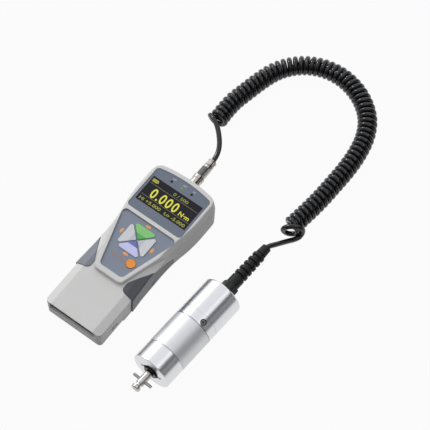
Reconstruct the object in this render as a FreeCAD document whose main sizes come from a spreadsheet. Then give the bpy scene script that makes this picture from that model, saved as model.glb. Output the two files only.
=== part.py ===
import FreeCAD, Part
import math
import os
import Sketcher
from FreeCAD import Placement, Rotation, Vector

# Torque gauge: a handheld display unit and a separate torque sensor, joined by a coiled cable.
# Millimetres. The display unit lies on its back: X across it, Y towards its connector end, Z up.
# The origin is on its back face, between the four stand inserts. The sensor lies beside it at +X.

SIZES = {
    # display unit, plan
    "tail_length": 82.5,
    "head_length": 87.5,
    "tail_half": 30.7,
    "head_half": 36.0,
    "flare_at": 8.0,
    "head_at": 60.0,
    "head_arc": 135.0,
    "head_corner": 10.0,
    "tail_corner": 5.0,
    # display unit, section
    "bezel_top": 33.0,
    "shoulder_level": 26.0,
    "deck_top": 29.2,
    "deck_flat_half": 23.2,
    "deck_slope": 24.0,
    "side_draft": 1.6,
    "inner_corner_share": 0.5,
    "bezel_lean": 3.5,
    "seam_level": 7.0,
    "case_wall": 2.2,
    "back_step_at": 47.6,
    "back_step": 3.8,
    "tail_floor": 1.8,
    "tail_round": 6.0,
    "shoulder_soft": 1.3,
    "bezel_round": 1.2,
    "deck_crease": 4.0,
    "roof_under": 29.0,
    # bezel, panels and window
    "rim_width": 3.8,
    "bezel_bottom_rim": 5.3,
    "bezel_corner": 5.0,
    "bezel_foot_lean": 0.15,
    "bezel_foot": 20.0,
    "panel_thick": 1.5,
    "panel_sunk": 0.5,
    "keypad_sunk": 1.6,
    "keypad_thick": 0.8,
    "panel_fit": 0.12,
    "panel_ledge": 1.5,
    "board_inset": 2.2,
    "screen_half": 30.0,
    "screen_bottom": 33.9,
    "screen_apex": 83.2,
    "screen_arc": 131.0,
    "screen_corner": 3.5,
    "keypad_top": 30.2,
    "keypad_top_half": 30.2,
    "keypad_bottom": 27.3,
    "keypad_bottom_half": 12.4,
    "keypad_corner": 4.0,
    "window_wide": 55.0,
    "window_high": 27.5,
    "window_at": 57.2,
    "window_fit": 0.15,
    "window_sunk": 0.2,
    "light_dia": 2.4,
    "light_at": 75.8,
    "light_pitch": 11.2,
    # keys
    "keys_at": 10.4,
    "key_base_half": 12.9,
    "key_base": 14.3,
    "key_apex": 0.7,
    "key_corner": 1.9,
    "key_proud": 0.7,
    "key_gap": 0.3,
    "key_flange": 0.9,
    "key_flange_thick": 0.6,
    "key_edge": 0.3,
    "key_side_share": 1.6,
    "key_tip_share": 1.4,
    "key_foot_half": 6.0,
    "key_foot_from": 8.6,
    "power_dia": 8.9,
    "power_x": 9.9,
    "power_y": 11.1,
    "dome_dia": 5.0,
    "dome_high": 0.25,
    "dome_reach": 8.3,
    "board_thick": 1.6,
    # rubber grips
    "grip_sink": 1.2,
    "grip_proud": 1.5,
    "grip_fit": 0.35,
    "grip_tip": 23.6,
    "grip_tip_level": 11.3,
    "grip_crest": 6.4,
    "grip_crest_half": 29.1,
    "grip_crest_level": 27.3,
    "grip_tip_half": 27.5,
    "grip_knee": 27.0,
    "grip_knee_corner": 9.0,
    "grip_low": 38.3,
    "grip_inner": 18.2,
    "grip_heel_half": 25.0,
    "grip_heel": 36.5,
    "grip_corner": 5.0,
    "grip_waist": 7.0,
    "grip_waist_half": 30.2,
    "grip_bend": 150.0,
    "grip_flare": 0.043,
    "grip_foot": 1.5,
    "grip_edge": 2.0,
    "plate_edge": 0.8,
    # tail bay with its sockets
    "bay_wide": 50.0,
    "bay_high": 9.5,
    "bay_lip": 2.0,
    "bay_corner": 1.6,
    "bay_deep": 15.0,
    "bay_wall": 1.2,
    "bay_fit": 0.1,
    "usb_wide": 7.8,
    "usb_high": 4.0,
    "usb_x": 17.5,
    "io_wide": 20.0,
    "io_high": 5.4,
    "io_x": -6.0,
    "socket_deep": 9.0,
    "socket_out": 3.0,
    "socket_hollow": 6.3,
    "tongue_long": 7.2,
    "tongue_thick": 0.9,
    "tongue_clear": 1.5,
    "shell_thick": 0.6,
    # strap slot
    "strap_at": 61.8,
    "strap_long": 9.5,
    "strap_high": 3.4,
    "strap_level": 12.0,
    "strap_bar_dia": 2.0,
    # fastenings
    "boss_dia": 7.0,
    "screw_dia": 2.9,
    "screw_pilot": 2.5,
    "screw_hole": 3.4,
    "screw_head_dia": 5.5,
    "screw_head_high": 1.8,
    "screw_head_hole": 6.2,
    "screw_bite": 10.0,
    "head_screw_x": 27.5,
    "head_screw_y": 71.0,
    "tail_screw_x": 24.0,
    "tail_screw_y": 57.0,
    "screw_seat": 3.2,
    "tail_screw_seat": 5.4,
    "insert_x": 20.0,
    "insert_y": 30.0,
    "insert_dia": 6.0,
    "insert_bore": 3.3,
    "insert_long": 6.0,
    "insert_boss": 9.0,
    "insert_cap": 0.6,
    "post_dia": 6.0,
    "post_x": 24.0,
    "post_y": 46.0,
    "post_tail_y": 40.0,
    "main_board_level": 14.0,
    "main_board_half": 27.0,
    "main_board_head": 62.0,
    "main_board_tail": 52.0,
    "chip_side": 14.0,
    "chip_high": 1.6,
    "battery_wide": 46.0,
    "battery_long": 46.0,
    "battery_high": 9.0,
    "battery_round": 2.0,
    # connector end
    "plate_left": 17.0,
    "plate_right": 20.0,
    "plate_low": 8.4,
    "plate_high": 14.2,
    "plate_front": 88.8,
    "plate_thick": 3.6,
    "plate_corner": 2.0,
    "plate_fit": 0.1,
    "plug_level": 14.5,
    "socket_dia": 11.0,
    "flange_dia": 13.6,
    "flange_thick": 1.9,
    "socket_back": 76.0,
    "socket_tail_dia": 7.7,
    "socket_tail_long": 3.0,
    "socket_bore": 8.2,
    "socket_bore_deep": 8.0,
    "nut_flats": 14.0,
    "nut_thick": 2.4,
    "pin_dia": 0.9,
    "pin_circle": 4.4,
    "pin_reach": 5.0,
    "sleeve_dia": 11.2,
    "sleeve_gap": 0.4,
    "sleeve_long": 10.8,
    "sleeve_overlap": 3.4,
    "sleeve_travel": 1.5,
    "sleeve_fit": 0.08,
    "plug_nose_dia": 8.0,
    "plug_rear_dia": 9.3,
    "plug_rear_end": 112.7,
    "clamp_nut_dia": 9.0,
    "clamp_nut_long": 3.4,
    # cable
    "cable_dia": 4.4,
    "coil_dia": 18.0,
    "coil_level": 9.05,
    # torque sensor, along its axis from the front face
    "sensor_x": 83.8,
    "sensor_y": -78.1,
    "sensor_dia": 38.8,
    "sensor_turn": 3.335,
    "sensor_long": 98.0,
    "front_cap_long": 20.0,
    "rear_cap_at": 55.2,
    "sleeve_bevel": 0.5,
    "front_edge": 0.8,
    "rear_round": 2.4,
    "cap_wall": 3.4,
    "spigot_long": 5.0,
    "groove_at": 64.2,
    "groove_wide": 0.6,
    "groove_deep": 0.35,
    "clamp_screw_at": 59.3,
    "clamp_screw_dia": 4.4,
    "clamp_recess_dia": 5.6,
    "clamp_recess_deep": 1.0,
    "clamp_screw_turn": 29.0,
    "hex_key": 2.5,
    "nose_recess_dia": 16.4,
    "nose_recess_deep": 2.2,
    "nose_screw_circle": 9.9,
    "nose_screw_dia": 3.2,
    "nose_screw_proud": 0.2,
    "nose_screw_key": 1.6,
    "nose_screw_key_deep": 1.1,
    "nose_screw_long": 7.0,
    "nose_screw_count": 2,
    "seal_bore_gap": 0.15,
    "seal_sunk": 0.8,
    "shaft_dia": 7.7,
    "collar_dia": 13.0,
    "collar_out": 1.6,
    "journal_dia": 12.0,
    "shaft_back": 27.0,
    "shaft_bore": 6.0,
    "shaft_bore_deep": 6.0,
    "tip_dia": 8.5,
    "tip_long": 3.6,
    "tip_reach": 21.2,
    "tip_bevel": 0.7,
    "neck_dia": 5.3,
    "neck_long": 2.6,
    "pin_at": 11.0,
    "cross_pin_dia": 2.9,
    "cross_pin_long": 20.2,
    "cross_pin_bevel": 0.4,
    "bearing_at": 9.0,
    "bearing_wide": 8.0,
    "bearing_dia": 28.0,
    "ball_dia": 4.0,
    "ball_count": 12,
    "ball_gap": 0.05,
    "race_wall": 1.2,
    "race_cover": 0.9,
    "running_fit": 0.04,
    "torsion_dia": 9.0,
    "torsion_flat": 7.0,
    "torsion_flange": 26.0,
    "torsion_flange_thick": 5.0,
    "torsion_end": 82.0,
    "gauge_long": 8.0,
    "gauge_wide": 5.0,
    "gauge_thick": 0.3,
    "sensor_board_dia": 24.0,
    # strain relief behind the sensor
    "gland_dia": 16.0,
    "gland_long": 9.8,
    "gland_flats": 15.0,
    "boot_root_dia": 12.6,
    "boot_root_end": 20.4,
    "boot_core_dia": 8.6,
    "boot_rib_dia": 12.9,
    "boot_rib_drop": 0.25,
    "boot_rib_wide": 3.2,
    "boot_rib_at": 24.0,
    "boot_rib_pitch": 5.85,
    "boot_ribs": 5,
    "boot_collar_dia": 9.8,
    "boot_collar_at": 50.6,
    "boot_end": 59.3,
}

# Centreline of the cable in three stretches. The last lead starts at the coil and ends in the sensor's boot.
LEAD_FROM_PLUG = [
    (0.0, 124.4, 14.5), (-2.9, 132.8, 14.9), (-9.9, 139.8, 15.2), (-17.7, 145.9, 15.2),
    (-22.7, 152.2, 15.0), (-24.8, 158.4, 14.9), (-25.0, 162.95, 14.9),
]
COIL = [
    (-24.0, 163.0), (-25.0, 182.5), (-24.0, 202.0), (-19.5, 221.0), (-12.0, 238.5), (0.0, 254.0),
    (16.0, 265.0), (35.0, 269.5), (54.5, 267.5), (72.0, 259.0), (86.0, 245.5), (95.5, 228.5),
    (101.5, 210.0), (104.0, 190.5), (104.0, 171.0), (102.5, 151.5), (100.0, 132.5), (97.0, 113.0),
]
LEAD_TO_SENSOR = [
    (102.2, 112.2, 12.75), (101.35, 106.65, 12.75), (99.2, 101.2, 14.9), (95.7, 94.2, 17.9), (93.4, 86.9, 19.4),
]


class Size(float):
    """A number with the sheet expression that gives it; sums and products keep both."""

    def __new__(cls, number, text=None):
        value = float.__new__(cls, number)
        value.text = repr(float(number)) if text is None else text
        return value

    def joined(self, sign, number, other, swap=False):
        first, second = (text_of(other), self.text) if swap else (self.text, text_of(other))
        return Size(number, "(%s %s %s)" % (first, sign, second))

    def __add__(self, other):
        return self.joined("+", float(self) + float(other), other)

    def __radd__(self, other):
        return self.joined("+", float(other) + float(self), other, True)

    def __sub__(self, other):
        return self.joined("-", float(self) - float(other), other)

    def __rsub__(self, other):
        return self.joined("-", float(other) - float(self), other, True)

    def __mul__(self, other):
        return self.joined("*", float(self) * float(other), other)

    def __rmul__(self, other):
        return self.joined("*", float(other) * float(self), other, True)

    def __truediv__(self, other):
        return self.joined("/", float(self) / float(other), other)

    def __neg__(self):
        return Size(-float(self), "(0 - %s)" % self.text)


def text_of(value):
    return value.text if isinstance(value, Size) else repr(float(value))


class Sheet:
    """The document's spreadsheet: one cell, with its alias, for each driving size."""

    def __init__(self, document, sizes):
        self.cells = document.addObject("Spreadsheet::Sheet", "Sizes")
        for row, (name, number) in enumerate(sizes.items(), 1):
            self.cells.set("A%d" % row, name)
            self.cells.set("B%d" % row, repr(number))
            self.cells.setAlias("B%d" % row, name)
        document.recompute()
        for name in sizes:
            setattr(self, name, Size(self.cells.get(name), "Sizes." + name))


doc = FreeCAD.newDocument("torque_gauge")
s = Sheet(doc, SIZES)
nodes = []


def bind(feature, prop, size):
    """Ties one property of a feature to its sheet expression."""
    feature.setExpression(prop, text_of(size))


def place(part, x=0.0, y=0.0, z=0.0, rotation=Rotation()):
    """Places a sub-part; its position stays tied to the sheet."""
    part.Placement = Placement(Vector(x, y, z), rotation)
    for axis, size in zip("xyz", (x, y, z)):
        if isinstance(size, Size):
            bind(part, ".Placement.Base." + axis, size)
    return part


def keep(part, label):
    """Names a finished sub-part and lists it for writing."""
    part.Label = label
    nodes.append(part)
    return part


def drawn(label, shape):
    """Keeps a sub-part whose form is worked out in code from the sheet."""
    part = doc.addObject("Part::Feature", label)
    part.Shape = shape
    return keep(part, label)


# Sketches and features of the bodies

def body_named(label):
    return doc.addObject("PartDesign::Body", label)


def origin_plane(body, role):
    return [item for item in body.Origin.OriginFeatures if item.Role == role][0]


def new_sketch(body, name, role, level=None):
    """An empty sketch on one of the body's origin planes, raised to a level along its normal."""
    sketch = body.newObject("Sketcher::SketchObject", name)
    sketch.AttachmentSupport = [(origin_plane(body, role), "")]
    sketch.MapMode = "FlatFace"
    if level is not None:
        sketch.AttachmentOffset = Placement(Vector(0, 0, level), Rotation())
        bind(sketch, ".AttachmentOffset.Base.z", level)
    return sketch


def sketch_polygon(sketch, points):
    """A closed polygon whose every corner is tied to its two sheet expressions."""
    first = sketch.GeometryCount
    total = len(points)
    for index, start in enumerate(points):
        end = points[(index + 1) % total]
        line = Part.LineSegment(Vector(start[0], start[1], 0), Vector(end[0], end[1], 0))
        sketch.addGeometry(line, False)
    for index in range(total):
        follower = first + (index + 1) % total
        sketch.addConstraint(Sketcher.Constraint("Coincident", first + index, 2, follower, 1))
    for index, point in enumerate(points):
        for kind, size in zip(("DistanceX", "DistanceY"), point):
            rule = Sketcher.Constraint(kind, -1, 1, first + index, 1, float(size))
            number = sketch.addConstraint(rule)
            bind(sketch, "Constraints[%d]" % number, size)


def sketch_circle(sketch, x, y, radius):
    """A circle tied to the sheet at its centre and radius."""
    index = sketch.addGeometry(Part.Circle(Vector(x, y, 0), Vector(0, 0, 1), radius), False)
    for kind, size in (("DistanceX", x), ("DistanceY", y)):
        number = sketch.addConstraint(Sketcher.Constraint(kind, -1, 1, index, 3, float(size)))
        bind(sketch, "Constraints[%d]" % number, size)
    number = sketch.addConstraint(Sketcher.Constraint("Radius", index, float(radius)))
    bind(sketch, "Constraints[%d]" % number, radius)


def rectangle(x_low, y_low, x_high, y_high):
    return [(x_low, y_low), (x_high, y_low), (x_high, y_high), (x_low, y_high)]


def pad(body, sketch, length, name="pad"):
    feature = body.newObject("PartDesign::Pad", name)
    feature.Profile = sketch
    bind(feature, "Length", length)
    sketch.Visibility = False
    doc.recompute()
    return feature


def pocket(body, sketch, depth, name="pocket", reverse=False):
    """Cuts along the sketch's normal downwards, or upwards when reversed."""
    feature = body.newObject("PartDesign::Pocket", name)
    feature.Profile = sketch
    feature.Reversed = reverse
    bind(feature, "Length", depth)
    doc.recompute()
    return feature


def revolve(body, sketch, name="revolution"):
    feature = body.newObject("PartDesign::Revolution", name)
    feature.Profile = sketch
    feature.ReferenceAxis = (sketch, ["V_Axis"])
    feature.Angle = 360
    doc.recompute()
    return feature


def rounded(body, feature, radius, wanted, kind="Fillet"):
    """A fillet or chamfer on the edges of a feature that the test picks."""
    picked = ["Edge%d" % (number + 1) for number, edge in enumerate(feature.Shape.Edges) if wanted(edge)]
    dressing = body.newObject("PartDesign::" + kind, kind.lower())
    dressing.Base = (feature, picked)
    bind(dressing, "Radius" if kind == "Fillet" else "Size", radius)
    doc.recompute()
    return dressing


def upright(edge):
    """True for a straight edge along the body's own Z."""
    ends = edge.Vertexes
    if len(ends) < 2 or not isinstance(edge.Curve, Part.Line):
        return False
    run = ends[1].Point - ends[0].Point
    return abs(run.z) > 0.999 * run.Length


def ring_edge(level, radius):
    """A test for a circular edge at one level with one radius."""
    def wanted(edge):
        curve = edge.Curve
        if not isinstance(curve, Part.Circle):
            return False
        return abs(curve.Radius - radius) < 1e-4 and abs(curve.Center.z - level) < 1e-4
    return wanted


def turned(label, profile):
    """A turned body about its own Z, from a profile of (radius, height) corners."""
    body = body_named(label)
    sketch = new_sketch(body, label + "_profile", "XZ_Plane")
    sketch_polygon(sketch, profile)
    revolve(body, sketch)
    return body


# Plain wires and solids used by the moulded pieces

def arc_edge(start, middle, end):
    return Part.Arc(Vector(*start), Vector(*middle), Vector(*end)).toShape()


def line_edge(start, end):
    return Part.LineSegment(Vector(*start), Vector(*end)).toShape()


def rounded_wire(corners, level):
    """A closed wire through (x, y, radius) corners, with the corners rounded."""
    pieces = []
    total = len(corners)
    for index, (x, y, radius) in enumerate(corners):
        here = Vector(x, y, level)
        before = Vector(corners[index - 1][0], corners[index - 1][1], level) - here
        after = Vector(corners[(index + 1) % total][0], corners[(index + 1) % total][1], level) - here
        before.normalize()
        after.normalize()
        half = before.getAngle(after) / 2
        reach = radius / math.tan(half)
        middle = before + after
        middle.normalize()
        depth = radius / math.sin(half) - radius
        pieces.append((here + before * reach, here + middle * depth, here + after * reach))
    edges = []
    for index, (start, middle, end) in enumerate(pieces):
        edges.append(Part.Arc(start, middle, end).toShape())
        edges.append(Part.LineSegment(end, pieces[(index + 1) % total][0]).toShape())
    return Part.Wire(edges)


def prism(wire, height):
    return Part.Face(wire).extrude(Vector(0, 0, height))


def block(x_low, y_low, z_low, x_high, y_high, z_high):
    size = (x_high - x_low, y_high - y_low, z_high - z_low)
    return Part.makeBox(*size, Vector(x_low, y_low, z_low))


def post(x, y, z_low, z_high, radius):
    return Part.makeCylinder(radius, z_high - z_low, Vector(x, y, z_low))


def arch_joint(half, corner, apex, arc):
    """Height of the corner arc's centre and its touching point on an arched end."""
    centre_y = apex - arc
    rise = math.sqrt((arc - corner) ** 2 - (half - corner) ** 2)
    touch = Vector(half - corner, rise, 0) * (arc / (arc - corner))
    return centre_y + rise, touch.x, centre_y + touch.y


def case_outline(shrink, level):
    """Plan of the case at a level: straight tail, flared head with an arched end."""
    tail = s.tail_half - shrink
    head = s.head_half - shrink
    foot = -s.tail_length
    apex = float(s.head_length)
    tail_r = s.tail_corner - shrink * s.inner_corner_share
    head_r = s.head_corner - shrink * s.inner_corner_share
    run = s.head_at - s.flare_at
    flare = head - tail
    bend = (run ** 2 + flare ** 2) / (4 * flare)
    sweep = math.asin(run / 2 / bend)
    turn = math.sqrt(0.5)
    corner_y, touch_x, touch_y = arch_joint(head, head_r, apex, s.head_arc)
    corner = Vector(head - head_r, corner_y, 0)
    towards = Vector(touch_x, touch_y, 0) - corner
    half_way = Vector(head_r, 0, 0) + towards
    half_way.normalize()
    corner_mid = corner + half_way * head_r

    def side(sign):
        def spot(x, y):
            return sign * x, y, level
        knee = spot((tail + head) / 2, s.flare_at + run / 2)
        part_x = bend - bend * math.cos(sweep / 2)
        part_y = bend * math.sin(sweep / 2)
        tail_mid = spot(tail - tail_r + tail_r * turn, foot + tail_r - tail_r * turn)
        return [
            arc_edge(spot(tail - tail_r, foot), tail_mid, spot(tail, foot + tail_r)),
            line_edge(spot(tail, foot + tail_r), spot(tail, s.flare_at)),
            arc_edge(spot(tail, s.flare_at), spot(tail + part_x, s.flare_at + part_y), knee),
            arc_edge(knee, spot(head - part_x, s.head_at - part_y), spot(head, s.head_at)),
            line_edge(spot(head, s.head_at), spot(head, corner_y)),
            arc_edge(spot(head, corner_y), spot(corner_mid.x, corner_mid.y), spot(touch_x, touch_y)),
        ]

    top = arc_edge((touch_x, touch_y, level), (0, apex, level), (-touch_x, touch_y, level))
    tail_edge = line_edge((-(tail - tail_r), foot, level), (tail - tail_r, foot, level))
    return Part.Wire(Part.__sortEdges__([tail_edge] + side(1) + [top] + side(-1)))


def between(low, high):
    return Part.makeLoft([low, high], True, True)


def case_block(shrink, shoulder, top):
    """The case's drafted sides up to the shoulder and its leaning rim above, smaller by shrink."""
    soft = s.shoulder_soft
    draft = s.side_draft / s.shoulder_level
    lean = s.bezel_lean / (s.bezel_top - s.shoulder_level)
    foot = case_outline(shrink + draft * shoulder, 0.0)
    low = case_outline(shrink + draft * soft, shoulder - soft)
    high = case_outline(shrink + lean * soft, shoulder + soft)
    rim = case_outline(shrink + lean * (top - shoulder), top)
    return between(foot, low).fuse([between(low, high), between(high, rim)])


def deck_surface(shrink):
    """Section corners of the deck: a flat middle with a slope on each side."""
    slope = math.radians(s.deck_slope)
    flat = s.deck_flat_half - shrink * math.tan(slope / 2)
    top = s.deck_top - shrink
    out = s.head_half * 2
    low = top - (out - flat) * math.tan(slope)
    return flat, top, out, low


def over_deck(shrink):
    """Everything over the deck, with softened creases between its flat and its slopes."""
    flat, top, out, low = deck_surface(shrink)
    high = s.bezel_top * 2
    start = -s.tail_length * 2
    section = [(-out, high), (-out, low), (-flat, top), (flat, top), (out, low), (out, high)]
    corners = [Vector(x, start, z) for x, z in section]
    solid = Part.Face(Part.makePolygon(corners + corners[:1])).extrude(Vector(0, -2 * start, 0))
    creases = [edge for edge in solid.Edges
               if edge.BoundBox.YLength > 1.0 and abs(abs(edge.BoundBox.Center.x) - flat) < 1e-4]
    return solid.makeFillet(s.deck_crease, creases)


def keypad_lean():
    """Run of the keypad's slanted side: how much wider it gets for each millimetre of height."""
    return (s.keypad_top_half - s.keypad_bottom_half) / (s.keypad_top + s.keypad_bottom)


def keypad_outline(grow, level):
    """Plan of the keypad panel, a narrow-footed wedge, all round larger by grow."""
    lean = keypad_lean()
    aside = grow * math.sqrt(1 + lean ** 2)
    low = -s.keypad_bottom - grow
    high = s.keypad_top + grow

    def half(y):
        return s.keypad_bottom_half + lean * (y + s.keypad_bottom) + aside
    radius = max(s.keypad_corner + grow, 0.5)
    corners = [(-half(low), low, radius), (half(low), low, radius), (half(high), high, radius), (-half(high), high, radius)]
    return rounded_wire(corners, level)


def bezel_wire(grow, level):
    """Plan of the raised bezel: the wedge round the keypad, open towards the head."""
    lean = keypad_lean()
    aside = (s.rim_width + grow) * math.sqrt(1 + lean ** 2)
    low = -s.keypad_bottom - s.bezel_bottom_rim - grow
    out = s.head_half * 1.5
    low_half = s.keypad_bottom_half + lean * (low + s.keypad_bottom) + aside
    meet = low + (out - low_half) / lean
    far = s.head_length * 2
    corner = s.bezel_corner + grow
    corners = [(-low_half, low, corner), (low_half, low, corner), (out, meet, corner), (out, far, corner),
               (-out, far, corner), (-out, meet, corner)]
    return rounded_wire(corners, level)


def bezel_column(grow):
    """Column over the raised bezel, with its wall leaning out towards the foot."""
    foot = s.bezel_foot_lean * (s.bezel_top - s.bezel_foot)
    wall = between(bezel_wire(grow + foot, s.bezel_foot), bezel_wire(grow, s.bezel_top))
    return wall.fuse(prism(bezel_wire(grow + foot, -s.bezel_foot), s.bezel_foot * 2))


def screen_outline(grow, level):
    """Plan of the screen panel, arched at the head end, all round larger by grow."""
    half = s.screen_half + grow
    bottom = s.screen_bottom - grow
    apex = s.screen_apex + grow
    arc = s.screen_arc + grow
    radius = max(s.screen_corner + grow, 0.5)
    corner_y, touch_x, touch_y = arch_joint(half, radius, apex, arc)
    corner = Vector(half - radius, corner_y, 0)
    half_way = Vector(radius, 0, 0) + Vector(touch_x, touch_y, 0) - corner
    half_way.normalize()
    corner_mid = corner + half_way * radius
    turn = radius * math.sqrt(0.5)

    def side(sign):
        low_mid = (sign * (half - radius + turn), bottom + radius - turn, level)
        return [
            arc_edge((sign * (half - radius), bottom, level), low_mid, (sign * half, bottom + radius, level)),
            line_edge((sign * half, bottom + radius, level), (sign * half, corner_y, level)),
            arc_edge((sign * half, corner_y, level), (sign * corner_mid.x, corner_mid.y, level),
                     (sign * touch_x, touch_y, level)),
        ]

    top = arc_edge((touch_x, touch_y, level), (0, apex, level), (-touch_x, touch_y, level))
    bottom_edge = line_edge((-(half - radius), bottom, level), (half - radius, bottom, level))
    return Part.Wire(Part.__sortEdges__([bottom_edge] + side(1) + [top] + side(-1)))


def flat_edges(shape, level):
    """Edges that lie wholly at one level."""
    return [edge for edge in shape.Edges
            if abs(edge.BoundBox.ZMin - level) < 1e-4 and abs(edge.BoundBox.ZMax - level) < 1e-4]


def tail_rounding():
    """What the round lower edge of the tail takes off."""
    radius = s.tail_round
    end = -s.tail_length
    out = s.head_half
    corner = block(-out, end - 1.0, s.back_step - 1.0, out, end + radius, s.back_step + radius)
    drum = Part.makeCylinder(radius, out * 2, Vector(-out, end + radius, s.back_step + radius), Vector(1, 0, 0))
    return corner.cut(drum)


def case_outside():
    """Outside of both case halves: head with its bezel, deck, and the step in the back."""
    form = case_block(0.0, s.shoulder_level, s.bezel_top)
    form = form.makeFillet(s.bezel_round, flat_edges(form, s.bezel_top))
    column = bezel_column(0.0)
    column = column.makeFillet(s.bezel_round, flat_edges(column, s.bezel_top))
    form = form.cut(over_deck(0.0).cut(column))
    out = s.head_half * 2
    form = form.cut(block(-out, -s.tail_length * 2, -1.0, out, -s.back_step_at, s.back_step))
    return form.cut(tail_rounding())


def case_inside():
    """Hollow of both case halves."""
    wall = s.case_wall
    hollow = case_block(wall, s.shoulder_level - wall / 2, s.roof_under)
    hollow = hollow.cut(over_deck(wall).cut(bezel_column(-wall)))
    out = s.head_half * 2
    tail = block(-out, -s.tail_length + wall, -1.0, out, s.head_length * 2, s.bezel_top)
    head = post(0, s.head_length - s.head_arc, -1.0, s.bezel_top, s.head_arc - wall)
    return hollow.common(tail).common(head)


def grip_plan(sign, grow):
    """Space of one rubber grip: from a thin tip low on the side up over the deck to a rounded heel."""
    out = s.head_half + s.grip_corner
    inner = s.grip_inner - grow
    heel = -s.grip_heel - grow
    tip = s.grip_tip + grow
    corners = [(out, tip, s.bezel_round), (s.grip_tip_half - grow, tip, s.bezel_round),
               (s.grip_crest_half - grow, -s.grip_crest, s.grip_knee_corner),
               (inner, -s.grip_knee, s.grip_knee_corner), (inner, heel, s.grip_corner),
               (s.grip_heel_half, heel, s.grip_corner), (out, -s.grip_low - grow, s.bezel_round)]
    wire = rounded_wire([(sign * x, y, radius) for x, y, radius in corners], s.grip_foot - grow)
    column = prism(wire, s.deck_top + s.grip_proud - s.grip_foot + grow)
    slant = (s.grip_crest_level - s.grip_tip_level) / (s.grip_crest + s.grip_tip)
    high = s.bezel_top * 2
    start = -s.grip_crest
    end = s.grip_tip + s.grip_corner
    crest = s.grip_crest_level + grow
    section = [Vector(-out, start, high), Vector(-out, start, crest), Vector(-out, end, crest - slant * (end - start)),
               Vector(-out, end, high)]
    over = Part.Face(Part.makePolygon(section + section[:1])).extrude(Vector(out * 2, 0, 0))
    return column.cut(over)


def grip_core():
    """The case inside which no grip reaches."""
    sink = s.grip_sink
    return case_block(sink, s.shoulder_level, s.bezel_top).cut(over_deck(sink))


def grip_shape(sign):
    """One rubber grip, flush at its tip, waisted, and proudest at its heel."""
    swell = s.grip_proud
    far = s.grip_low + 10.0
    high = s.grip_tip * 2
    slant = (s.grip_waist_half - s.tail_half - swell) / (s.grip_low - s.grip_waist)
    high_half = s.grip_waist_half + (high + s.grip_waist) * s.grip_flare
    far_half = s.grip_waist_half - slant * (far - s.grip_waist)
    levels = []
    for level in (0.0, s.bezel_top):
        pull = s.side_draft * (s.shoulder_level - level) / s.shoulder_level
        corners = [(0.0, high, s.grip_corner), (high_half - pull, high, s.grip_corner),
                   (s.grip_waist_half - pull, -s.grip_waist, s.grip_bend),
                   (far_half - pull, -far, s.grip_corner), (0.0, -far, s.grip_corner)]
        levels.append(rounded_wire([(sign * x, y, radius) for x, y, radius in corners], level))
    outside = between(levels[0], levels[1]).cut(over_deck(-swell / 2))
    crease = [edge for edge in outside.Edges
              if edge.BoundBox.ZMin > s.bezel_foot and edge.BoundBox.YLength > 1.0
              and sign * edge.BoundBox.Center.x > s.grip_waist_half - 1.0]
    outside = outside.makeFillet(s.grip_edge, crease)
    return grip_plan(sign, -s.grip_fit).common(outside).cut(grip_core())


def screw_places():
    """Places of the case screws: x, y and the level that each head seats at."""
    places = []
    for sign in (-1, 1):
        places.append((sign * s.head_screw_x, s.head_screw_y, s.screw_seat))
        places.append((sign * s.tail_screw_x, -s.tail_screw_y, s.tail_screw_seat))
    return places


def insert_places():
    return [(a * s.insert_x, b * s.insert_y) for a in (-1, 1) for b in (-1, 1)]


def bay_level():
    """Level of the middle of the tail bay's mouth."""
    return s.deck_top - s.bay_lip - s.bay_high / 2


def bay_column(grow, start, length):
    """A rounded block along Y with the section of the tail bay."""
    half = s.bay_wide / 2 + grow
    high = s.bay_high / 2 + grow
    radius = s.bay_corner + grow
    corners = [(-half, -high, radius), (half, -high, radius), (half, high, radius), (-half, high, radius)]
    face = Part.Face(rounded_wire(corners, 0.0))
    face.rotate(Vector(0, 0, 0), Vector(1, 0, 0), 90)
    face.translate(Vector(0, start, bay_level()))
    return face.extrude(Vector(0, length, 0))


def plate_column(grow, start, length):
    """A rounded block along Y with the section of the connector plate."""
    low = s.plate_low - grow
    high = s.plate_low + s.plate_high + grow
    left = -s.plate_left - grow
    right = s.plate_right + grow
    radius = s.plate_corner + grow
    corners = [(left, low, radius), (right, low, radius), (right, high, radius), (left, high, radius)]
    face = Part.Face(rounded_wire(corners, 0.0))
    face.rotate(Vector(0, 0, 0), Vector(1, 0, 0), 90)
    face.translate(Vector(0, start, 0))
    return face.extrude(Vector(0, length, 0))


def strap_slot():
    """The slot through the right side wall that a strap threads into."""
    half = s.strap_long / 2
    y = -s.strap_at
    return block(s.tail_half - s.case_wall * 2, y - half, s.strap_level - s.strap_high / 2,
                 s.tail_half * 2, y + half, s.strap_level + s.strap_high / 2)


def screen_seat():
    """Level of the ledge that the screen panel lies on."""
    return s.bezel_top - s.panel_sunk - s.panel_thick


def keypad_seat():
    """Level of the ledge that the keypad panel lies on, deeper than the screen's."""
    return s.bezel_top - s.keypad_sunk - s.keypad_thick


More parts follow.
